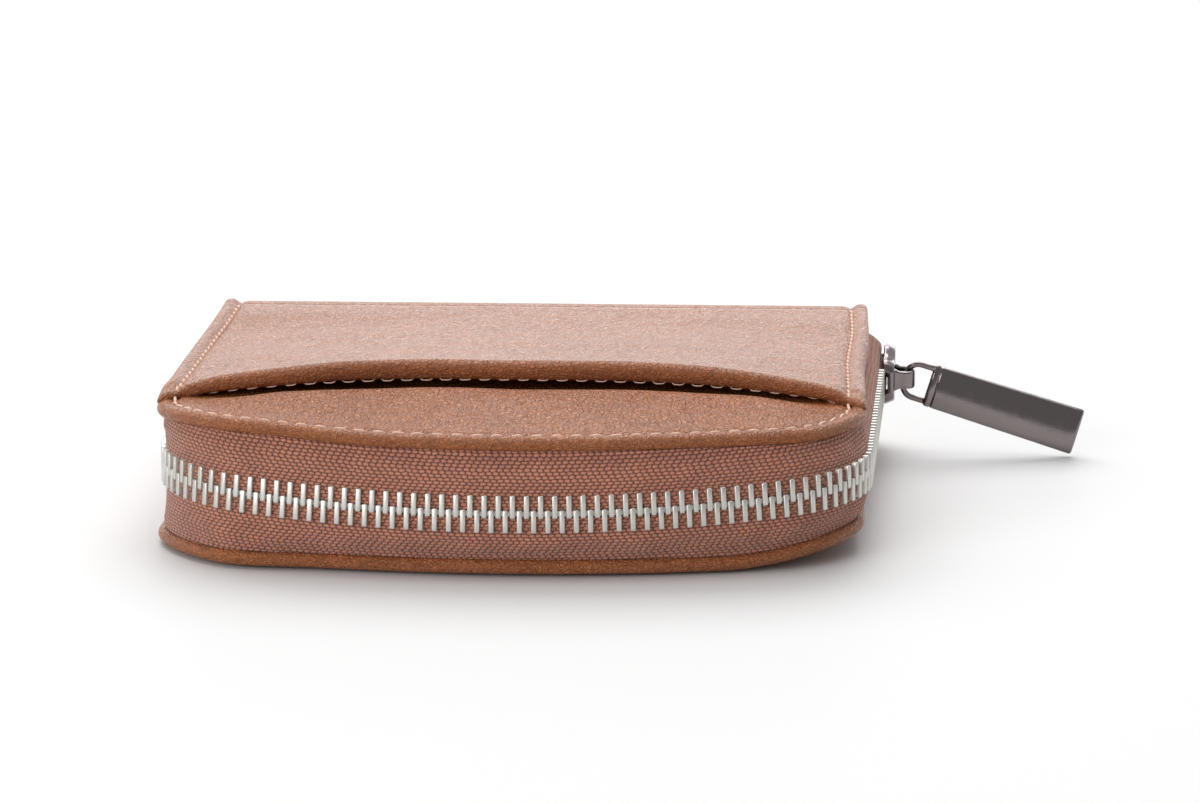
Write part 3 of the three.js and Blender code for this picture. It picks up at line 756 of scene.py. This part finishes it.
def stitch_line(name, path, up, body, pitch=3.05, length=2.3, radius=0.26):
    """Stitches along a path: each a short arch of thread that dips into the leather at both ends."""
    path, up = np.asarray(path, float), np.asarray(up, float)
    steps = np.linalg.norm(np.diff(path, axis=0), axis=1)
    run = np.concatenate([[0], np.cumsum(steps)])
    count = int(run[-1] // pitch)
    first = (run[-1] - count * pitch) / 2 + pitch / 2
    around = np.linspace(0, 2 * math.pi, STITCH_SIDES + 1)[:-1]
    a = np.linspace(-1, 1, STITCH_RINGS)
    girth = radius * np.clip(1 - a ** 6, 0.12, 1)
    stitches = []
    for i in range(count):
        at = first + i * pitch + a * length / 2
        centre = points_from(*(np.interp(at, run, path[:, k]) for k in range(3)))
        lift = points_from(*(np.interp(at, run, up[:, k]) for k in range(3)))
        lift /= np.linalg.norm(lift, axis=1)[:, None]
        tangent = centre[-1] - centre[0]
        tangent /= np.linalg.norm(tangent)
        sideways = np.cross(lift, tangent)
        centre += sideways * (a * 0.14)[:, None] + lift * (0.2 - 0.4 * a ** 4)[:, None]
        rings = (np.cos(around)[None, :, None] * sideways[:, None, :]
                 + 0.8 * np.sin(around)[None, :, None] * lift[:, None, :])
        stitches.append(loft(centre[:, None, :] + girth[:, None, None] * rings))
    line = piece(name, *merged(stitches), THREAD, "leather")
    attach(line, body)


def build_stitching():
    end = COVER_SIDE.run_to(JOIN_Y + 1)
    s = np.linspace(-end, end, 1400)
    xy, _ = border(COVER_LINE, s, COVER_INSET + STITCH_INSET)
    upright = np.tile([0.0, 0.0, 1.0], (len(s), 1))
    depth = np.full(len(s), STITCH_INSET)
    behind = xy[:, 1] - mouth_y(xy[:, 0])
    on_cover = cover_top_height(xy, depth)
    on_pocket = pocket_top_height(xy[:, 0], np.maximum(behind, 0))
    height = np.where(behind > 0, on_pocket, on_cover)
    height = np.convolve(np.pad(height, 5, "edge"), np.ones(11) / 11, "valid")
    stitch_line("top_stitching", settle(points_from(xy, height)), upright, "lid")

    low = floor_lift(xy, depth) + groove(depth)
    stitch_line("bottom_stitching", spread(points_from(xy, low)), -upright, "base")

    x = np.linspace(-COVER_HALF + 3.5, COVER_HALF - 3.5, 500)
    angle = math.radians(-72)
    radius = pocket_half(x, np.full(len(x), HEM_RADIUS))
    y = mouth_y(x) + HEM_RADIUS - radius * math.cos(angle)
    z = pocket_middle(x, 0 * x) + radius * math.sin(angle)
    out = np.tile([0.0, -math.cos(angle), math.sin(angle)], (len(x), 1))
    stitch_line("pocket_hem_stitching", settle(points_from(x, y, z)), out, "lid", radius=0.13)


# ---- Zip tape ----
HOOK_Y = 49.4  # the zip turns in behind the last stop
HOOK_RADIUS = 2.0
HOOK_TAIL = 6.0
SEWN_INSET = 1.9  # the tape's sewn edge, in from a cover's edge and under its outer face
SEWN_UNDER = 2 * BEAD + 0.05


def drawn_in(points):
    """The zip's left side follows the covers as they draw in towards the spine."""
    points = np.array(points, float)
    side = smoothstep(0.25, 1.0, -points[:, 0] / COVER_HALF)
    points[:, 0] += side * left_drawn(points[:, 1])
    return points


def zip_ends():
    return -ZIP_LINE[0].run_to(HOOK_Y), ZIP_LINE[1].run_to(HOOK_Y)


def zip_line(s):
    """Plan points of the zip's middle, their outward normals and its height. Past the last stop at
    each end the line hooks round behind it and runs inwards."""
    xy, normal = border(ZIP_LINE, s)
    share = np.clip(np.abs(xy[:, 0]) / (ZIP_LINE[0].x + CORNER_RADIUS), 0, 1)
    middle = CHAIN_Z_FRONT + (HINGE_Z - CHAIN_Z_FRONT) * share ** 2
    furthest = math.radians(95)
    for end in zip_ends():
        side = math.copysign(1, end)
        past = side * (s - end)
        (start,), (outward,) = border(ZIP_LINE, np.array([end]))
        along = side * np.array([-outward[1], outward[0]])
        turn = np.clip(past / HOOK_RADIUS, 0, furthest)
        tail = np.maximum(past - HOOK_RADIUS * furthest, 0)
        sin, cos = np.sin(turn)[:, None], np.cos(turn)[:, None]
        hooked = start + HOOK_RADIUS * (sin * along - (1 - cos) * outward)
        hooked = hooked + tail[:, None] * (cos * along - sin * outward)
        xy = np.where(past[:, None] > 0, hooked, xy)
        normal = np.where(past[:, None] > 0, cos * outward + sin * along, normal)
    return xy, normal, middle


def build_tape(name, node, body, direction):
    """A tape from under its cover's edge to the zip's middle. The direction is 1 for the upper one and
    -1 for the lower one."""
    low_end, high_end = zip_ends()
    s = np.linspace(low_end - HOOK_TAIL, high_end + HOOK_TAIL, 621)
    line, normal, middle = zip_line(s)
    sewn_limit = COVER_SIDE.run_to(SPINE_Y - SEWN_INSET)
    sewn_s = np.clip(s * COVER_SIDE.corner_end / ZIP_LINE[0].corner_end, -sewn_limit, sewn_limit)
    sewn_xy = border(COVER_LINE, sewn_s, SEWN_INSET)[0]
    if direction > 0:
        sewn = settle(points_from(sewn_xy, COVER_TOP - SEWN_UNDER + corner_lift(sewn_xy)))
        even_pucker, corner_pucker = 0.5, 0.7
    else:
        sewn_depth = np.full(len(s), SEWN_INSET)
        sewn = spread(points_from(sewn_xy, SEWN_UNDER + floor_lift(sewn_xy, sewn_depth)))
        even_pucker, corner_pucker = 0.75, 1.2
    edge_z = middle + direction * TAPE_EDGE
    edge = drawn_in(points_from(line, edge_z))
    waves = np.clip(ripple(s, 8, 1.0, 7 + direction), -0.35, 1)
    pucker = waves * (even_pucker + corner_pucker * hump(s, 62, 14))

    def face(t, side):
        """Points of one row, t from the sewn edge to the chain, and their UVs in millimetres."""
        out = 0.12 * t + 0.88 * smoothstep(0, 0.5, t)
        bulge = pucker * math.sin(math.pi * min(t / 0.6, 1)) ** 2 + 0.25 * math.sin(math.pi * t)
        xy = sewn[:, :2] * (1 - out) + edge[:, :2] * out + normal * bulge[:, None]
        z = sewn[:, 2] * (1 - t) + edge[:, 2] * t
        height = np.abs(z - edge_z)
        cord = 0.35 * falling(1.3, 2.0, height)
        ridge = 0.13 * hump(height, np.abs(sewn[:, 2] - edge_z) - 1.6, 0.5)
        thick = side * (TAPE_HALF + cord + ridge)
        return points_from(xy + normal * thick[:, None], z), points_from(s, height)

    rows = [face(t, 1) for t in np.linspace(0, 1, 26)]
    rows += [face(t, -1) for t in np.linspace(1, 0, 8)]
    rings, uv = (np.stack(part, axis=1) for part in zip(*rows))
    tape = piece(name, *loft(rings), TAPE, "zip_tape", uv=("tape_mm", uv.reshape(-1, 2)))
    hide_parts(node)
    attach(tape, body)


# ---- Zip teeth ----
def bevelled_blocks(blocks):
    """Points and faces of boxes given by size, centre and bevel."""
    shape = bmesh.new()
    for size, centre, bevel in blocks:
        corners = bmesh.ops.create_cube(shape, size=1.0)["verts"]
        bmesh.ops.scale(shape, vec=size, verts=corners)
        bmesh.ops.translate(shape, vec=centre, verts=corners)
        edges = list({e for v in corners for e in v.link_edges})
        bmesh.ops.bevel(shape, geom=edges, offset=bevel, segments=2, affect="EDGES", profile=0.5)
    shape.verts.index_update()
    points = np.array([v.co for v in shape.verts])
    faces = [[v.index for v in f.verts] for f in shape.faces]
    shape.free()
    return points, faces


def build_teeth(name, node, body, direction):
    """A row of teeth along the zip's line. Each is a bar clamped over the tape's edge, turned to face
    out of the purse, with a nub that its neighbours hook round."""
    reach = TOOTH_LENGTH / 2 - TOOTH_OVERLAP
    points, faces = bevelled_blocks([
        ((TOOTH_WIDTH, 2 * TOOTH_HALF_DEPTH, TOOTH_LENGTH), (0, 0, reach), 0.17),
        (NUB_SIZE, (0, 0, 0.12), 0.18),
    ])
    high = box_mm(node)[1]
    start = -ZIP_LINE[0].run_to(TEETH_REAR_Y)
    rear_gap = 0.6 if direction < 0 else 7.6
    end = ZIP_LINE[1].run_to(high[1] - rear_gap)
    s = np.arange(start, end - TOOTH_PITCH / 2, TOOTH_PITCH)
    if direction > 0:
        s = s + 0.5 * TOOTH_PITCH
    line, normal, middle = zip_line(s)
    centres = drawn_in(points_from(line, middle))
    slope = np.gradient(middle, s)
    teeth = []
    for i, centre in enumerate(centres):
        along = np.array([-normal[i][1], normal[i][0], slope[i]])
        along /= np.linalg.norm(along)
        out = np.array([normal[i][0], normal[i][1], 0.0])
        up = np.cross(out, along)
        up *= np.sign(up[2]) * direction
        teeth.append((centre + points @ np.vstack([along, out, up]), faces))
    row = piece(name, *merged(teeth), TEETH, "zip_metal")
    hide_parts(node)
    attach(row, body)


def build_stops():
    """The metal stops at the ends of the zip: blocks crimped over the tape, with a waist."""
    for node, body in (("upper_top_stop", "lid"), ("lower_top_stop", "base"), ("bottom_stop", "base")):
        low, high = box_mm(node)
        size, centre = high - low, (low + high) / 2
        points, faces = bevelled_blocks([
            ((size[0] * 0.94, size[1] * 0.92, size[2]), (0, 0, 0), 0.4),
            ((size[0], size[1] * 0.5, size[2] * 0.86), (0, 0, 0), 0.3),
        ])
        centre = drawn_in([centre])[0]
        made = piece(node + "_metal", points + centre, faces, TEETH, "zip_metal")
        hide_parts(node)
        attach(made, body)


# ---- Slider and pull ----
PULL_PIVOT = np.array(frame["joints"][2]["pos_m"]) / MM
PULL_AXIS = np.array(frame["joints"][2]["axis"])
SLIDE_AXIS = -np.array(frame["joints"][1]["axis"])
SLIDER_OUT = np.array([SLIDE_AXIS[1], -SLIDE_AXIS[0], 0.0])
PULL_OUT = np.cross(SLIDE_AXIS, PULL_AXIS)
SLIDER_LENGTH = 10.6
SLIDER_TOP = 2.85  # outer face of the slider's plate, from the chain's middle
PLATE = 1.1
PLATE_RIM = 0.4  # radius of the plate's rounded rim
CURL = 1.1  # how far its long edges turn in over the teeth
CURL_WIDTH = 0.8
WEDGE_LENGTH = 3.6
ARCH_START = 2.3  # the arch that holds the pull: its tail end, length, height and corner radius
ARCH_LENGTH = 6.0
ARCH_HEIGHT = 3.7
ARCH_CORNER = 1.7
ARCH_HALF_THICK = 0.5
PIVOT_OUT = SLIDER_TOP + 1.7
LOOP_HALF = 2.9  # the pull's wire loop: half its width, its length and corner radius
LOOP_REACH = 4.5
LOOP_CORNER = 2.1
TAB_START = 4.1  # the pull's tab: its distance from the pivot, length and half widths
TAB_LENGTH = 26.2
TAB_START_HALF = 3.6
TAB_END_HALF = 3.9
TAB_HALF_THICK = 0.72
TAB_CROWN = 0.42
TAB_GROOVE = 1.25  # a shallow groove round the tab, this far along it
TAB_LEAN = math.radians(8)  # the tab hangs a little askew on its loop, its face turned up
SLIDER_ORIGIN = PULL_PIVOT - PIVOT_OUT * SLIDER_OUT - SLIDER_LENGTH / 2 * SLIDE_AXIS
UP = np.array([0.0, 0.0, 1.0])


def on_slider(along, out, across):
    """Points given in the slider's own directions, in the purse's frame."""
    along, out, across = (np.asarray(v, float)[..., None] for v in (along, out, across))
    return SLIDER_ORIGIN + along * SLIDE_AXIS + out * SLIDER_OUT + across * UP


def on_pull(out, across, through):
    """Points given in the pull's own directions from its pivot, in the purse's frame."""
    out, across, through = (np.asarray(v, float)[..., None] for v in (out, across, through))
    return PULL_PIVOT + out * PULL_OUT + across * PULL_AXIS + through * SLIDE_AXIS


def round_section(half_width, half_depth, corner, crown=0.0, steps=5):
    """Closed outline of a bar: round corners, and wide faces that swell by the crown."""
    outline = []
    for quarter in range(4):
        sx = 1 if quarter in (0, 3) else -1
        sy = 1 if quarter in (0, 1) else -1
        for a in np.linspace(0, math.pi / 2, steps) + quarter * math.pi / 2:
            outline.append((sx * (half_width - corner) + corner * math.cos(a),
                            sy * (half_depth - corner) + corner * math.sin(a)))
        if quarter in (0, 2):
            for x in np.linspace(half_width - corner, corner - half_width, 9)[1:-1]:
                outline.append((sx * x, sy * half_depth))
    outline = np.array(outline)
    swell = crown * (1 - (outline[:, 0] / half_width) ** 2)
    outline[:, 1] += np.sign(outline[:, 1]) * swell
    return outline


def eased_ends(length, radius, steps=5, middle=12):
    """Stations along a bar and how far its section is drawn in at each, to round both ends."""
    a = np.linspace(0, math.pi / 2, steps)
    near = radius * (1 - np.cos(a))
    inset = radius * (1 - np.sin(a))
    at = np.concatenate([near, np.linspace(radius, length - radius, middle)[1:-1], length - near[::-1]])
    drawn = np.concatenate([inset, np.zeros(middle - 2), inset[::-1]])
    return at, drawn


def hoop(width, height, corner, legs, steps):
    """A U: up one leg, round two corners and down the other leg. Each entry holds its place across
    and up, and the direction that faces out of the U there."""
    near = [(0.0, up, -1.0, 0.0) for up in legs]
    for a in np.linspace(0, math.pi / 2, steps):
        sin, cos = math.sin(a), math.cos(a)
        near.append((corner * (1 - cos), height - corner * (1 - sin), -cos, sin))
    far = [(width - across, up, -aim_across, aim_up) for across, up, aim_across, aim_up in near]
    return near + far[::-1]


def plate_half(along):
    """Half of the slider plate's width: narrow at the tail, with shoulders at the mouth."""
    tail_half, shoulder, corner = 3.7, 1.3, 1.5
    body = tail_half + shoulder * smoothstep(0.4, 0.68, along / SLIDER_LENGTH)
    end = np.minimum(along, SLIDER_LENGTH - along)
    short = np.clip(1 - end / corner, 0, 1)
    return body - corner * (1 - np.sqrt(np.clip(1 - short ** 2, 0, 1)))


def slider_plate(side):
    """One plate of the slider, its long edges curled round the chain."""
    near = np.array([0, 0.06, 0.2, 0.45])
    a = np.concatenate([near, np.linspace(0.8, SLIDER_LENGTH - 0.8, 22), SLIDER_LENGTH - near[::-1]])
    t = np.linspace(-1, 1, 37)
    along, share = (v.ravel() for v in np.meshgrid(a, t, indexing="ij"))
    half = plate_half(along)
    across = share * half
    edge = half - np.abs(across)
    end = np.minimum(along, SLIDER_LENGTH - along)
    curl = CURL * falling(0, CURL_WIDTH, edge)
    eased = PLATE_RIM - roll(np.minimum(edge, end), PLATE_RIM)
    outer = SLIDER_TOP - curl - eased
    inner = SLIDER_TOP - PLATE - curl + eased
    top = on_slider(along, side * outer, across)
    bottom = on_slider(along, side * np.minimum(inner, outer), across)
    return shell(grid_quads(len(a), len(t)), top, bottom)


def build_slider():
    """The slider: two plates joined by a wedge, and the arch on it that holds the pull."""
    rings = []
    for at, drawn in zip(*eased_ends(WEDGE_LENGTH, 0.15, 3, 4)):
        outline = round_section(0.45 - drawn, 2.1, 0.15)
        rings.append(on_slider(SLIDER_LENGTH - WEDGE_LENGTH + at, outline[:, 1], outline[:, 0]))
    body = merged([slider_plate(1), slider_plate(-1), loft(rings)])
    made = piece("slider_body_metal", *body, GUNMETAL, "gunmetal")
    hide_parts("slider_body")
    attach(made, "slider")

    base = SLIDER_TOP - 0.3
    rings = []
    for place in hoop(ARCH_LENGTH, ARCH_HEIGHT, ARCH_CORNER, (0.0, 0.5, 1.1), 8):
        run, rise, aim_along, aim_out = place
        foot = 0.45 * falling(0, 1.3, rise)
        outline = round_section(1.45 + foot, ARCH_HALF_THICK + foot / 2, 0.3)
        through = outline[:, 1] - ARCH_HALF_THICK
        along = ARCH_START + run + aim_along * through
        rings.append(on_slider(along, base + rise + aim_out * through, outline[:, 0]))
    arch = piece("slider_bridge_metal", *loft(rings), GUNMETAL, "gunmetal")
    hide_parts("slider_bridge")
    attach(arch, "slider")


def build_pull():
    """The pull: a wire loop through the slider's arch and a heavy tapered tab with swelling faces."""
    rings = []
    for place in hoop(2 * LOOP_HALF, LOOP_REACH, LOOP_CORNER, (0.0, 0.8, 1.6), 9):
        run, rise, aim_across, aim_out = place
        wire = round_section(0.48, 0.5, 0.34)
        out = LOOP_REACH - rise - aim_out * wire[:, 0]
        rings.append(on_pull(out, LOOP_HALF - run - aim_across * wire[:, 0], wire[:, 1]))
    loop = piece("pull_loop_metal", *loft(rings), GUNMETAL, "gunmetal")
    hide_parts("pull_loop")
    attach(loop, "pull")

    eased = eased_ends(TAB_LENGTH, 0.45, 6, 22)
    at = np.sort(np.concatenate([eased[0], TAB_GROOVE + np.linspace(-0.2, 0.2, 5)]))
    rings = []
    for run, inset in zip(at, np.interp(at, *eased)):
        notch = 0.12 * hump(run, TAB_GROOVE, 0.12)
        half = TAB_START_HALF + (TAB_END_HALF - TAB_START_HALF) * run / TAB_LENGTH - inset - notch
        thin = min(inset, 0.6)
        outline = round_section(half, TAB_HALF_THICK - thin - notch, 0.42 - 0.5 * thin, TAB_CROWN)
        across = outline[:, 0] * math.cos(TAB_LEAN) - outline[:, 1] * math.sin(TAB_LEAN)
        through = outline[:, 0] * math.sin(TAB_LEAN) + outline[:, 1] * math.cos(TAB_LEAN)
        rings.append(on_pull(TAB_START + run, across, through))
    tab = piece("pull_tab_metal", *loft(rings), GUNMETAL, "gunmetal")
    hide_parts("pull_tab")
    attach(tab, "pull")


# ---- Inside ----
def build_layer(name, node, body, finish, slot, uneven=0.0):
    """A thin flat layer inside a cover, shaped like it. Returns the piece and its flat area, mm2."""
    low, high = box_mm(node)
    inset = COVER_HALF + COVER_INSET - high[0]
    half = (high[2] - low[2]) / 2
    xy, depth, faces = cover_plan(high[1], rim_steps(half, 6, 4, 8), 160, inset)
    soft = np.abs(ripple(xy, 14, 1, 11)) * uneven
    thick = roll(depth, half)
    middle = (low[2] + high[2]) / 2
    inward = 1 if middle < HINGE_Z else -1
    if body == "base":
        middle = middle + floor_lift(xy, depth + inset - COVER_INSET)
    face_in = middle + inward * (thick + soft * smoothstep(0, 4, depth))
    points, skin = slab(xy, faces, face_in, middle - inward * thick)
    made = piece(name, settle(points), skin, finish, slot)
    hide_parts(node)
    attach(made, body)
    end = COVER_SIDE.run_to(high[1])
    x, y = border(COVER_LINE, np.linspace(-end, end, 600), inset)[0].T
    return made, 0.5 * abs(np.dot(x, np.roll(y, 1)) - np.dot(y, np.roll(x, 1)))


def build_lining(cover, body):
    """The stiffener board of a cover and the lining cloth that is stretched over it."""
    board, _ = build_layer(f"{cover}_stiffener", f"{cover}_board", body, BOARD, "board")
    node = f"{cover}_lining"
    cloth_piece, area = build_layer(f"{node}_cloth", node, body, LINING, "lining", 0.12)


def build_panel(node, body, facing):
    """A thin leather panel with rolled edges, sewn down at its sides and front, open at its rear."""
    low, high = box_mm(node)
    half = (high[2] - low[2]) / 2
    x = across_steps(high[0], half, 4, 40)
    near = rim_steps(half, 4, 5, 8)
    inner = np.linspace(low[1] + 4, high[1] - 4, 26)
    y = np.concatenate([low[1] + near[:-1], inner, (high[1] - near[:-1])[::-1]])
    gx, gy = np.meshgrid(x, y)
    edge = np.minimum(high[0] - np.abs(gx), np.minimum(gy - low[1], high[1] - gy)).ravel()
    thick = roll(edge, half)
    middle = (low[2] + high[2]) / 2
    xy = points_from(gx.ravel(), gy.ravel())
    points, skin = slab(xy, grid_quads(len(y), len(x)), middle + thick, middle - thick)
    made = piece(node + "_leather", points, skin, LEATHER_INNER, "leather_inner")
    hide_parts(node)
    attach(made, body)
    inset = 1.6
    face = high[2] if facing > 0 else low[2]
    left, right, front, rear = low[0] + inset, high[0] - inset, low[1] + inset, high[1]
    plan = ((left, rear), (left, front), (right, front), (right, rear))
    corners = [np.array([x, y, face]) for x, y in plan]
    sewn = np.vstack([np.linspace(a, b, 80) for a, b in zip(corners, corners[1:])])
    mouth = np.linspace([left + 2, rear - 1.5, face], [right - 2, rear - 1.5, face], 80)
    for name, path in (("stitching", sewn), ("mouth_stitching", mouth)):
        up = np.tile([0.0, 0.0, float(facing)], (len(path), 1))
        stitch_line(f"{node}_{name}", path, up, body, pitch=2.6, length=1.8, radius=0.15)


def build_spine_lining():
    low, high = box_mm("spine_lining_lower")
    top = box_mm("spine_lining_upper")[1][2]
    columns, rows = 60, 40
    grid = np.meshgrid(np.linspace(low[0], high[0], columns), np.linspace(low[2], top, rows))
    gx, gz = (v.ravel() for v in grid)
    soft = ripple(points_from(gx, 0 * gx, gz), 12, 0.12, 21)
    outer = points_from(gx, np.full(gx.size, high[1]), gz)
    inner = points_from(gx, low[1] - np.abs(soft), gz)
    points, skin = shell(grid_quads(rows, columns), outer, inner)
    made = piece("spine_lining_cloth", settle(points), skin, LINING, "lining")
    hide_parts("spine_lining_lower", "spine_lining_upper")
    bend_at_spine(made)


def build_inside():
    build_lining("bottom", "base")
    build_lining("top", "lid")
    for number in (1, 2, 3):
        build_panel(f"card_slot_{number}", "base", 1)
    build_panel("note_pocket", "lid", -1)
    build_spine_lining()


# ---- Studio ----
def build_floor():
    f = Finish("pale_floor", (0.68, 0.68, 0.68), 0.6)
    f.shade(Normal=f.bump(f.noise(f.place_mm(), 1.1, 3), 0.05, 0.5))
    mesh = bpy.data.meshes.new("floor")
    size = 3.0
    corners = [(-size, -size, 0), (size, -size, 0), (size, size, 0), (-size, size, 0)]
    mesh.from_pydata(corners, [], [(0, 1, 2, 3)])
    mesh.materials.append(f.material)
    floor = bpy.data.objects.new("floor", mesh)
    bpy.context.scene.collection.objects.link(floor)
    floor.location.z = -0.0002


def area_light(name, place, target, size, power):
    data = bpy.data.lights.new(name, "AREA")
    data.shape = "RECTANGLE"
    data.size, data.size_y = size
    data.energy = power
    lamp = bpy.data.objects.new(name, data)
    lamp.location = place
    lamp.rotation_mode = "QUATERNION"
    lamp.rotation_quaternion = (Vector(target) - Vector(place)).to_track_quat("-Z", "Y")
    bpy.context.scene.collection.objects.link(lamp)


# How light comes from each part of the world: directions from front (-1) to rear (1) between which
# its strength changes, and the strengths there.
ROOM_LIGHT = (-0.75, 0.5, 0.3, 0.75)
BACKDROP_LIGHT = (0.93, 0.985, 0.0, 1.25)


def build_world():
    """A dim room in front, light from the rear, and a bright patch straight behind. The camera itself
    sees white."""
    world = bpy.data.worlds.new("studio")
    bpy.context.scene.world = world
    w = Nodes(world, "Background")
    split = w.node("ShaderNodeSeparateXYZ")
    w.feed(w.node("ShaderNodeTexCoord").outputs["Generated"], split.inputs[0])
    room, backdrop = (
        w.ramp(split.outputs["Y"], *limits, interpolation_type="SMOOTHSTEP")
        for limits in (ROOM_LIGHT, BACKDROP_LIGHT)
    )
    seen = w.node("ShaderNodeLightPath").outputs["Is Camera Ray"]
    strength = w.math("MAXIMUM", seen, w.math("ADD", room, backdrop))
    w.shade(Color=(1.0, 1.0, 1.0), Strength=strength)


CAMERA_AZIMUTH = math.radians(2.59)
CAMERA_ELEVATION = math.radians(13.44)
CAMERA_DISTANCE = 0.9357
CAMERA_LENS = 183.33
CAMERA_PAN = math.radians(-0.8456)
CAMERA_TILT = math.radians(-1.6553)


def build_camera():
    """Level camera that looks past a point under the front of the zip, with the purse low and left."""
    a, e = CAMERA_AZIMUTH, CAMERA_ELEVATION
    back = Vector((math.sin(a) * math.cos(e), -math.cos(a) * math.cos(e), math.sin(e)))
    right = Vector((math.cos(a), math.sin(a), 0))
    up = back.cross(right)
    place = Vector((0, ZIP_FRONT_Y * MM, 0)) + back * CAMERA_DISTANCE
    cam_x = right * math.cos(CAMERA_PAN) - back * math.sin(CAMERA_PAN)
    ahead = -right * math.sin(CAMERA_PAN) - back * math.cos(CAMERA_PAN)
    cam_y = up * math.cos(CAMERA_TILT) + ahead * math.sin(CAMERA_TILT)
    forward = -up * math.sin(CAMERA_TILT) + ahead * math.cos(CAMERA_TILT)
    data = bpy.data.cameras.new("camera")
    data.lens = CAMERA_LENS
    data.sensor_width = 36
    data.clip_end = 20
    camera = bpy.data.objects.new("camera", data)
    turn = Matrix((cam_x, cam_y, -forward)).transposed()
    camera.matrix_world = Matrix.Translation(place) @ turn.to_4x4()
    bpy.context.scene.collection.objects.link(camera)
    bpy.context.scene.camera = camera


build_camera()
build_top_cover()
build_bottom_cover()
build_pocket()
build_spine()
build_stitching()
build_tape("upper_tape_woven", "upper_zip_tape", "lid", 1)
build_tape("lower_tape_woven", "lower_zip_tape", "base", -1)
build_teeth("upper_teeth_metal", "upper_teeth", "lid", 1)
build_teeth("lower_teeth_metal", "lower_teeth", "base", -1)
build_stops()
build_slider()
build_pull()
build_inside()
build_floor()
build_world()
area_light("back_key", (-0.15, 0.75, 0.9), (0, 0, 0), (1.2, 0.8), 10)
area_light("top_fill", (0.1, 0.1, 1.3), (0, 0, 0), (1.0, 0.8), 5)
area_light("front_fill", (-0.7, -1.0, 0.38), (0, 0, 0), (0.8, 0.5), 8.5)
bpy.context.scene.view_settings.view_transform = "Standard"
